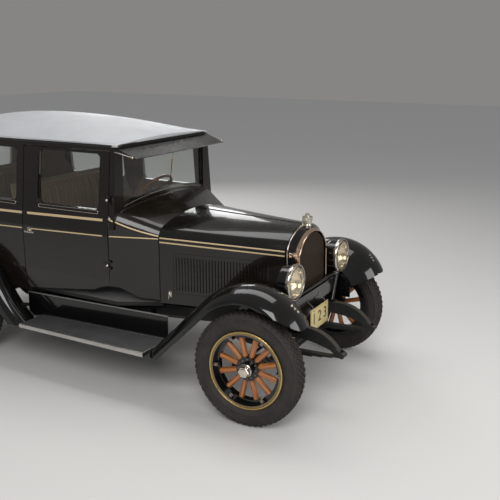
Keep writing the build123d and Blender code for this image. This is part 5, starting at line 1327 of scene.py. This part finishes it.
# %% Bolts of the front fender brackets
stud_rings = ((0.0105, -0.003), (0.0105, 0.0015), (0.0075, 0.0020), (0.0075, 0.0060), (0.0062, 0.0072))
for side_name, side in SIDES:
    for number, (x, y, z) in enumerate(((1.861, 0.662, 0.840), (1.879, 0.656, 0.822), (1.896, 0.647, 0.802))):
        name = "fender_bolt_" + side_name + "_" + str(number)
        turned(name, stud_rings, nickel, (x, side * y, z), (0.70, 0, 0.70), steps=6, smooth=25)
print("bolts set")

# %% [markdown]
# ## The rear
# The rear window gets the same bead as the side windows. The tail lamp has a red glass in a plated
# rim. The spare rim carries a golden edge like the road wheels, three clamp nuts and the large nut
# of its carrier. All of these are turned forms and strips, so the helpers above are enough.

# %% Rear window bead, tail lamp and spare rim
WINDOW_LOOP = loop_stops(-0.3065, 0.3065, 1.3335, 1.6165, 0.045)
ring = [back_point(y, z, 0.0003, ("back_panel",)) for y, z in WINDOW_LOOP]
strip("rear_window_bead", [place for place in ring if place], 0.0032, upper_paint, closed=True)
SPARE_HUB, TAIL_LAMP = Vector((-2.0015, 0, 0.810)), (-1.845, -0.500, 0.764)
rear_parts = (
    # name, place, finish, sides, smoothing angle, rings
    ("tail_lamp_rim", TAIL_LAMP, nickel, 40, 35, (
        (0.0385, -0.006), (0.0408, -0.004), (0.0408, 0.003), (0.0375, 0.0055), (0.034, 0.004), (0.034, 0.001),
    )),
    ("tail_lamp_glass", TAIL_LAMP, red_glass, 40, 50, (
        (0.0335, 0.0005), (0.0335, 0.003), (0.028, 0.0075), (0.017, 0.0105), (TINY, 0.0115),
    )),
    ("spare_centre_nut", SPARE_HUB, nickel, 6, 20, (
        (0.034, 0.011), (0.034, 0.016), (0.022, 0.018), (0.022, 0.034), (0.016, 0.038), (TINY, 0.039),
    )),
)
for name, place, finish, steps, smooth, rings in rear_parts:
    turned(name, rings, finish, place, BACKWARDS, steps=steps, smooth=smooth)


def round_spare(back, radius, degrees):
    """A place at an angle round the spare wheel's hub."""
    a = math.radians(degrees)
    return SPARE_HUB + Vector((back, radius * math.cos(a), radius * math.sin(a)))


rim_line = [round_spare(-0.0555, 0.2655, 5 * n) for n in range(72)]
strip("spare_rim_edge", rim_line, 0.0032, rim_metal, closed=True)
nut_rings = ((0.016, -0.001), (0.016, 0.0025), (0.0105, 0.0025), (0.0105, 0.011), (TINY, 0.012))
joined([
    turned("spare_nut", nut_rings, steel, round_spare(-0.005, 0.195, angle), BACKWARDS, steps=6, smooth=20)
    for angle in (30, 150, 270)
], "spare_nuts")
print("rear window, tail lamp and spare rim trimmed")

# %% [markdown]
# Each bonnet side is held down by two sprung handles. A handle is a plate on the panel and a wire
# bent out from it, made as one block and one strip. A coiled spring would be hidden under the
# plate, so none is made.

# %% Bonnet latches
LEVER_BENDS = ((0, 0.003, 0.022), (0, 0.015, 0.015), (0, 0.021, -0.004), (0, 0.019, -0.024), (0, 0.024, -0.036))
for side_name, side in SIDES:
    body = "bonnet_side_" + side_name
    for label, x in (("latch_rear_", 0.745), ("latch_front_", 1.335)):
        foot = panel_point(("hood_side_" + side_name,), x, 0.672, side)
        plate_place = foot + Vector((0, side * 0.001, 0))
        plate = block("latch_plate", (0.026, 0.004, 0.052), plate_place, nickel, body, edge=0.0015)
        line = [foot + Vector((dx, side * dy, dz)) for dx, dy, dz in LEVER_BENDS]
        joined([plate, strip("latch_lever", line, 0.0042, nickel, body)], label + side_name)
print("four bonnet latches made")

# %% [markdown]
# ## Cabin lining
# Closed cars were lined with wool cloth on the roof, doors and quarters, with varnished wood round
# the windows and a dark carpet on the floor. The inner faces of the solids take these finishes, so
# the panels keep their real thickness.

# %% Finishes on the inner faces
BELT = 1.262


def faces_in(p, n, reach=0.655):
    """A face on the inside of a side wall, looking at the middle of the car."""
    return n.y * (1 if p.y > 0 else -1) < -0.5 and abs(p.y) < reach


window_wood = varnish("window_wood", (0.16, 0.065, 0.03), (0.06, 0.022, 0.012), coat=0.5)
inner_finishes = (
    ("door_right", lining, lambda p, n: faces_in(p, n) and p.z < BELT),
    ("door_right", window_wood, lambda p, n: faces_in(p, n) and p.z > BELT),
    ("door_left", lining, lambda p, n: faces_in(p, n) and p.z < BELT),
    ("door_left", window_wood, lambda p, n: faces_in(p, n) and p.z > BELT),
    ("side_panels", lining, lambda p, n: faces_in(p, n, 0.66) and (p.z < BELT or p.x < -1.26)),
    ("side_panels", window_wood, lambda p, n: faces_in(p, n, 0.66) and p.z > BELT and p.x > -1.26),
    ("back_panel", lining, lambda p, n: n.x > 0.5 or (faces_in(p, n) and p.x > -1.70)),
    ("roof", lining, lambda p, n: n.z < -0.35 and abs(p.y) < 0.585 and -1.62 < p.x < 0.34),
    ("cowl", window_wood, lambda p, n: n.x < -0.9 and 1.07 < p.z < 1.32 and abs(p.y) < 0.62
        and 0.34 < p.x < 0.36),
    ("cowl", chassis_paint, lambda p, n: 0.37 < p.x < 0.66 and 0.60 < p.z < 1.30
        and (n.x < -0.3 or n.z < -0.3 or faces_in(p, n, 1.0))),
    ("body_floor", carpet, lambda p, n: n.z > 0.5 and abs(p.y) < 0.60),
)
for name, finish, chosen in inner_finishes:
    print(name, finish.name, also(name, finish, chosen), "faces")

# %% [markdown]
# ## Padded seats
# A sprung cushion is a cloth bag over horsehair, pulled down by seams. Each pad starts a little
# smaller than its CAD solid, is remeshed to even squares and blown up by Cloth pressure. The
# swelling is capped, the side that rests on wood stays flat, and the sewn pleats and the piping
# come last, since remeshing would remove them. A pad could also be sculpted, but pressure in a
# cloth gives the even swell of a filled bag.

# %% One pad
VOXEL, PRESSURE, SWELLING, FILL = 0.013, 4, 0.024, 0.8
ROLL, SEAM_DEPTH, SEAM_WIDTH = 0.055, 0.012, 0.008
PLEAT_PITCH, PLEAT_DEPTH, PLEAT_WIDTH = 0.077, 0.011, 0.0085


def dip(off, width):
    """How far a seam pulls the cloth in at a distance off it, from 1 down to 0."""
    return math.exp(-((off / width) ** 2))


def blown_up(piece):
    """Cloth pressure for twenty frames, without weight."""
    step = piece.modifiers.new("Cloth", "CLOTH")
    step.settings.use_pressure = True
    step.settings.uniform_pressure_force = PRESSURE
    step.settings.effector_weights.gravity = 0
    for number in range(1, 21):
        scene.frame_set(number)
    bpy.ops.object.modifier_apply(modifier=step.name)
    scene.frame_set(1)


def pad(name, size, centre, lean, node):
    """A pleated pad whose sewn face is local +Z; a plain roll runs along its +X edge.

    It lies flat, or with lean it stands with its +X edge up and leans back by that angle.
    """
    piece = bevelled_box(size, min(0.030, 0.42 * size[2]), 4)
    remesh = piece.modifiers.new("Remesh", "REMESH")
    remesh.mode, remesh.voxel_size = "VOXEL", VOXEL
    bpy.ops.object.modifier_apply(modifier=remesh.name)
    start = [v.co.copy() for v in piece.data.vertices]
    blown_up(piece)
    underside, seam_x = -size[2] / 2, size[0] / 2 - ROLL
    for v, first in zip(piece.data.vertices, start):
        moved = v.co - first
        if moved.length > SWELLING:
            v.co = first + moved.normalized() * SWELLING
        v.co.z = max(v.co.z, underside)
    finer = piece.modifiers.new("Finer", "SUBSURF")
    finer.levels = finer.render_levels = 1
    bpy.ops.object.modifier_apply(modifier=finer.name)
    for v in piece.data.vertices:
        upper = max(0.0, min(1.0, (v.co.z - underside - 0.03) / 0.04))
        before_roll = max(0.0, min(1.0, (seam_x - v.co.x) / 0.012))
        from_pleat = ((v.co.y / PLEAT_PITCH + 0.5) % 1 - 0.5) * PLEAT_PITCH
        v.co.z -= upper * before_roll * PLEAT_DEPTH * dip(from_pleat, PLEAT_WIDTH)
        v.co.z -= upper * SEAM_DEPTH * dip(v.co.x - seam_x, SEAM_WIDTH)
    if lean:
        s, c = math.sin(lean), math.cos(lean)
        piece.rotation_euler = Matrix(((-s, 0, c), (0, -1, 0), (c, 0, s))).to_euler()
    piece.location = centre
    settle(piece, name, seat_cloth, "chassis", smooth=80)
    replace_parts(piece, node)
    print(name, len(piece.data.polygons), "faces")
    return piece


# %% [markdown]
# Each bench is two pads on a carpeted base, with a lined board behind. The pads could be one
# piece, but a real cushion lifts out and a real backrest leans, so they are four, and the
# backrests lean.

# %% Front and rear bench
print("simulating the pads")
FRONT_LEAN, REAR_LEAN = math.radians(6.8), math.radians(5.93)
front_cushion = pad("front_cushion", (0.422, 1.030, 0.125), (-0.4210, 0, 0.8700), 0, "front_seat")
rear_cushion = pad("rear_cushion", (0.430, 1.060, 0.125), (-1.3150, 0, 0.9100), 0, "rear_seat")
pad("front_backrest", (0.400, 1.030, 0.058), (-0.6820, 0, 1.1735), FRONT_LEAN, "front_seat")
pad("rear_backrest", (0.360, 1.060, 0.058), (-1.5730, 0, 1.2030), REAR_LEAN, "rear_seat")
for node, label, size, centre, finish, lean, edge in (
    ("front_seat", "_base", (0.445, 1.060, 0.215), (-0.4250, 0, 0.6950), carpet, 0, 0.004),
    ("rear_seat", "_base", (0.440, 1.090, 0.175), (-1.3050, 0, 0.7560), carpet, 0, 0.004),
    ("front_seat", "_back_board", (0.012, 1.070, 0.710), (-0.6990, 0, 1.0200), lining, FRONT_LEAN, 0.003),
    ("rear_seat", "_back_board", (0.012, 1.100, 0.650), (-1.5930, 0, 1.0500), lining, REAR_LEAN, 0.003),
):
    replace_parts(block(node + label, size, centre, finish, turn=(0, -lean, 0), edge=edge), node)

# %% [markdown]
# A cord is sewn into the front edge of each cushion, and a plated robe rail runs behind the front
# seat. The cord follows the blown up pad: one ray finds its front, another its top just behind. A
# cord drawn beforehand would sink into the pad or float before it.

# %% Piping along the cushions and a robe rail behind the front seat
for label, piece in (("front", front_cushion), ("rear", rear_cushion)):
    middle = sum(v.co.z for v in piece.data.vertices) / len(piece.data.vertices)
    line = []
    for n in range(41):
        y = (n / 20 - 1) * 0.480
        front_face = surface(piece).ray_cast(Vector((0.5, y, middle)), BACKWARDS)[0]
        top_face = surface(piece).ray_cast(Vector((front_face.x - 0.020, y, 1.4)), DOWN)[0]
        line.append(top_face + Vector((0, 0, 0.0005)))
    strip(label + "_cushion_piping", line, 0.0042, carpet, smooth=70)
post_rings = ((0.014, -0.001), (0.014, 0.003), (0.008, 0.006), (0.008, 0.034), (TINY, 0.038))
rail = [strip("robe_rail", [(-0.7640, y, 1.235) for y in (-0.420, 0, 0.420)], 0.0065, nickel)]
for y in (-0.400, 0.400):
    rail.append(turned("rail_post", post_rings, nickel, (-0.7330, y, 1.235), BACKWARDS, steps=24))
joined(rail, "robe_rail")
print("piping and robe rail made")

# %% [markdown]
# ## Controls
# The driver sits on the left. The horn button, dials, levers, pedals, window cranks and inner door
# handles are small turned or bent pieces. They have no joint of their own. What lies behind the
# panels is never seen, so only what stands out of them is made.

# %% Steering wheel: aluminium spokes and hub, horn button
HUB, UP_COLUMN = Vector((-0.0575, 0.360, 1.210)), Vector((-0.766, 0, 0.643))


def off_column(p):
    """Distance from the steering column's axis."""
    return (p - HUB - (p - HUB).dot(UP_COLUMN) * UP_COLUMN).length


metal_faces = also("steering_wheel", aluminium, lambda p, n: off_column(p) < 0.196)
hub_points = [v.co for v in nodes["steering_wheel"].data.vertices if off_column(v.co) < 0.05]
hub_top = max((p - HUB).dot(UP_COLUMN) for p in hub_points)
button_rings = ((0.024, -0.001), (0.024, 0.004), (0.020, 0.008), (0.010, 0.0105), (TINY, 0.011))
button_place = HUB + UP_COLUMN * hub_top
turned("horn_button", button_rings, mat_rubber, button_place, UP_COLUMN, "steering_wheel", smooth=50)
print(metal_faces, "wheel faces in aluminium, hub top at", round(hub_top, 4))

# %% [markdown]
# Three dials share one plated plate on the dashboard. Each is a dark disc, a rolled brass rim and
# a cream hand. They could be printed on the plate, but real rims and hands throw small shadows.

# %% Dials on the dashboard
DASH_X, DIAL_Z = 0.3485, 1.185
block("dial_plate", (0.004, 0.330, 0.105), (DASH_X - 0.0015, 0, DIAL_Z), nickel, edge=0.0015)
for number, (y, r) in enumerate(((-0.105, 0.033), (0, 0.042), (0.105, 0.033)), start=1):
    centre = Vector((DASH_X - 0.003, y, DIAL_Z))
    face_rings = ((r, -0.001), (r, 0.002), (TINY, 0.002))
    rim_rings = ((r, 0), (r + 0.004, 0), (r + 0.004, 0.004), (r + 0.001, 0.006), (r - 0.002, 0.003), (r, 0))
    hand_size, hand_place = (0.0012, 0.0022, r * 0.75), centre + Vector((-0.003, 0.004, r * 0.3))
    turned("dial_face_" + str(number), face_rings, figure_paint, centre, BACKWARDS, steps=40)
    turned("dial_rim_" + str(number), rim_rings, brass, centre, BACKWARDS, steps=40, hollow=True)
    hand_turn = (0.35 * number, 0, 0)
    block("dial_hand_" + str(number), hand_size, hand_place, line_paint, turn=hand_turn, edge=0.0004)
print("three dials made")

# %% [markdown]
# The gear lever and hand brake are bent rods with a turned knob. Two pedals are rubber pads on
# bent stems, and the throttle is a button. A rod could be extruded bend by bend, but a strip
# through its bends does the same in one step.

# %% Gear lever, hand brake and pedals
def lever(name, line, r, material):
    """A rod along line with a knob of radius r that looks the way the rod ends."""
    strip(name, line, 0.0065, steel, smooth=70)
    top = Vector(line[-1])
    rings = ((0.006, -0.012), (r * 0.8, -0.009), (r, 0.002), (r * 0.8, 0.013), (TINY, r * 0.8 + 0.004))
    turned(name + "_knob", rings, material, top, top - Vector(line[-2]), steps=24, smooth=60)


gear_line = ((0.130, 0.000, 0.590), (0.125, 0.002, 0.700), (0.070, 0.012, 0.860), (0.005, 0.030, 1.000))
brake_line = ((0.175, -0.075, 0.590), (0.170, -0.075, 0.740), (0.150, -0.075, 0.935))
lever("gear_lever", gear_line, 0.020, mat_rubber)
lever("hand_brake", brake_line, 0.012, steel)
pedal_turn = (0, math.radians(-38), 0)
for label, y in (("clutch", 0.430), ("brake", 0.300)):
    strip(label + "_stem", [(0.430, y, 0.640), (0.375, y, 0.700), (0.330, y, 0.770)], 0.007, steel)
    block(label + "_pedal", (0.010, 0.062, 0.070), (0.322, y, 0.780), mat_rubber, turn=pedal_turn, edge=0.003)
throttle_rings = ((0.016, 0), (0.016, 0.006), (0.010, 0.009))
turned("throttle_pedal", throttle_rings, nickel, (0.370, 0.215, 0.700), (-0.75, 0, 0.66), steps=24)
print("levers and pedals made")

# %% [markdown]
# Each door has a crank for its window and a pull for its lock. Both are a boss on the lining, a
# bent arm and a turned tip, so one loop makes all four. They ride with their door, as it opens.

# %% Window cranks and inner door handles
boss_rings = ((0.020, -0.001), (0.020, 0.004), (0.011, 0.007), (0.011, 0.020), (0.006, 0.023))
tip_rings = ((0.007, -0.004), (0.010, 0.004), (0.011, 0.020), (0.006, 0.027))
for side_name, side in SIDES:
    door, inwards = "door_" + side_name, (0, -side, 0)
    for name, x, z, dx, dz in (
        ("window_crank_", -0.150, 1.060, 0.075, -0.045), ("door_pull_", -0.415, 1.075, 0.085, -0.004),
    ):
        inside = nearest((door,), Vector((x, 0, z)), Vector((0, side, 0)))
        root = inside + Vector((0, -side * 0.018, 0))
        bends = ((0, 0, 0), (dx * 0.5, -side * 0.004, dz * 0.4), (dx, -side * 0.003, dz))
        tip_place = root + Vector((dx, 0, dz))
        joined([
            turned("boss", boss_rings, nickel, inside, inwards, door, steps=24),
            strip("arm", [root + Vector(bend) for bend in bends], 0.005, nickel, door),
            turned("tip", tip_rings, nickel, tip_place, inwards, door, steps=20, smooth=50),
        ], name + side_name)
print("cabin controls made")
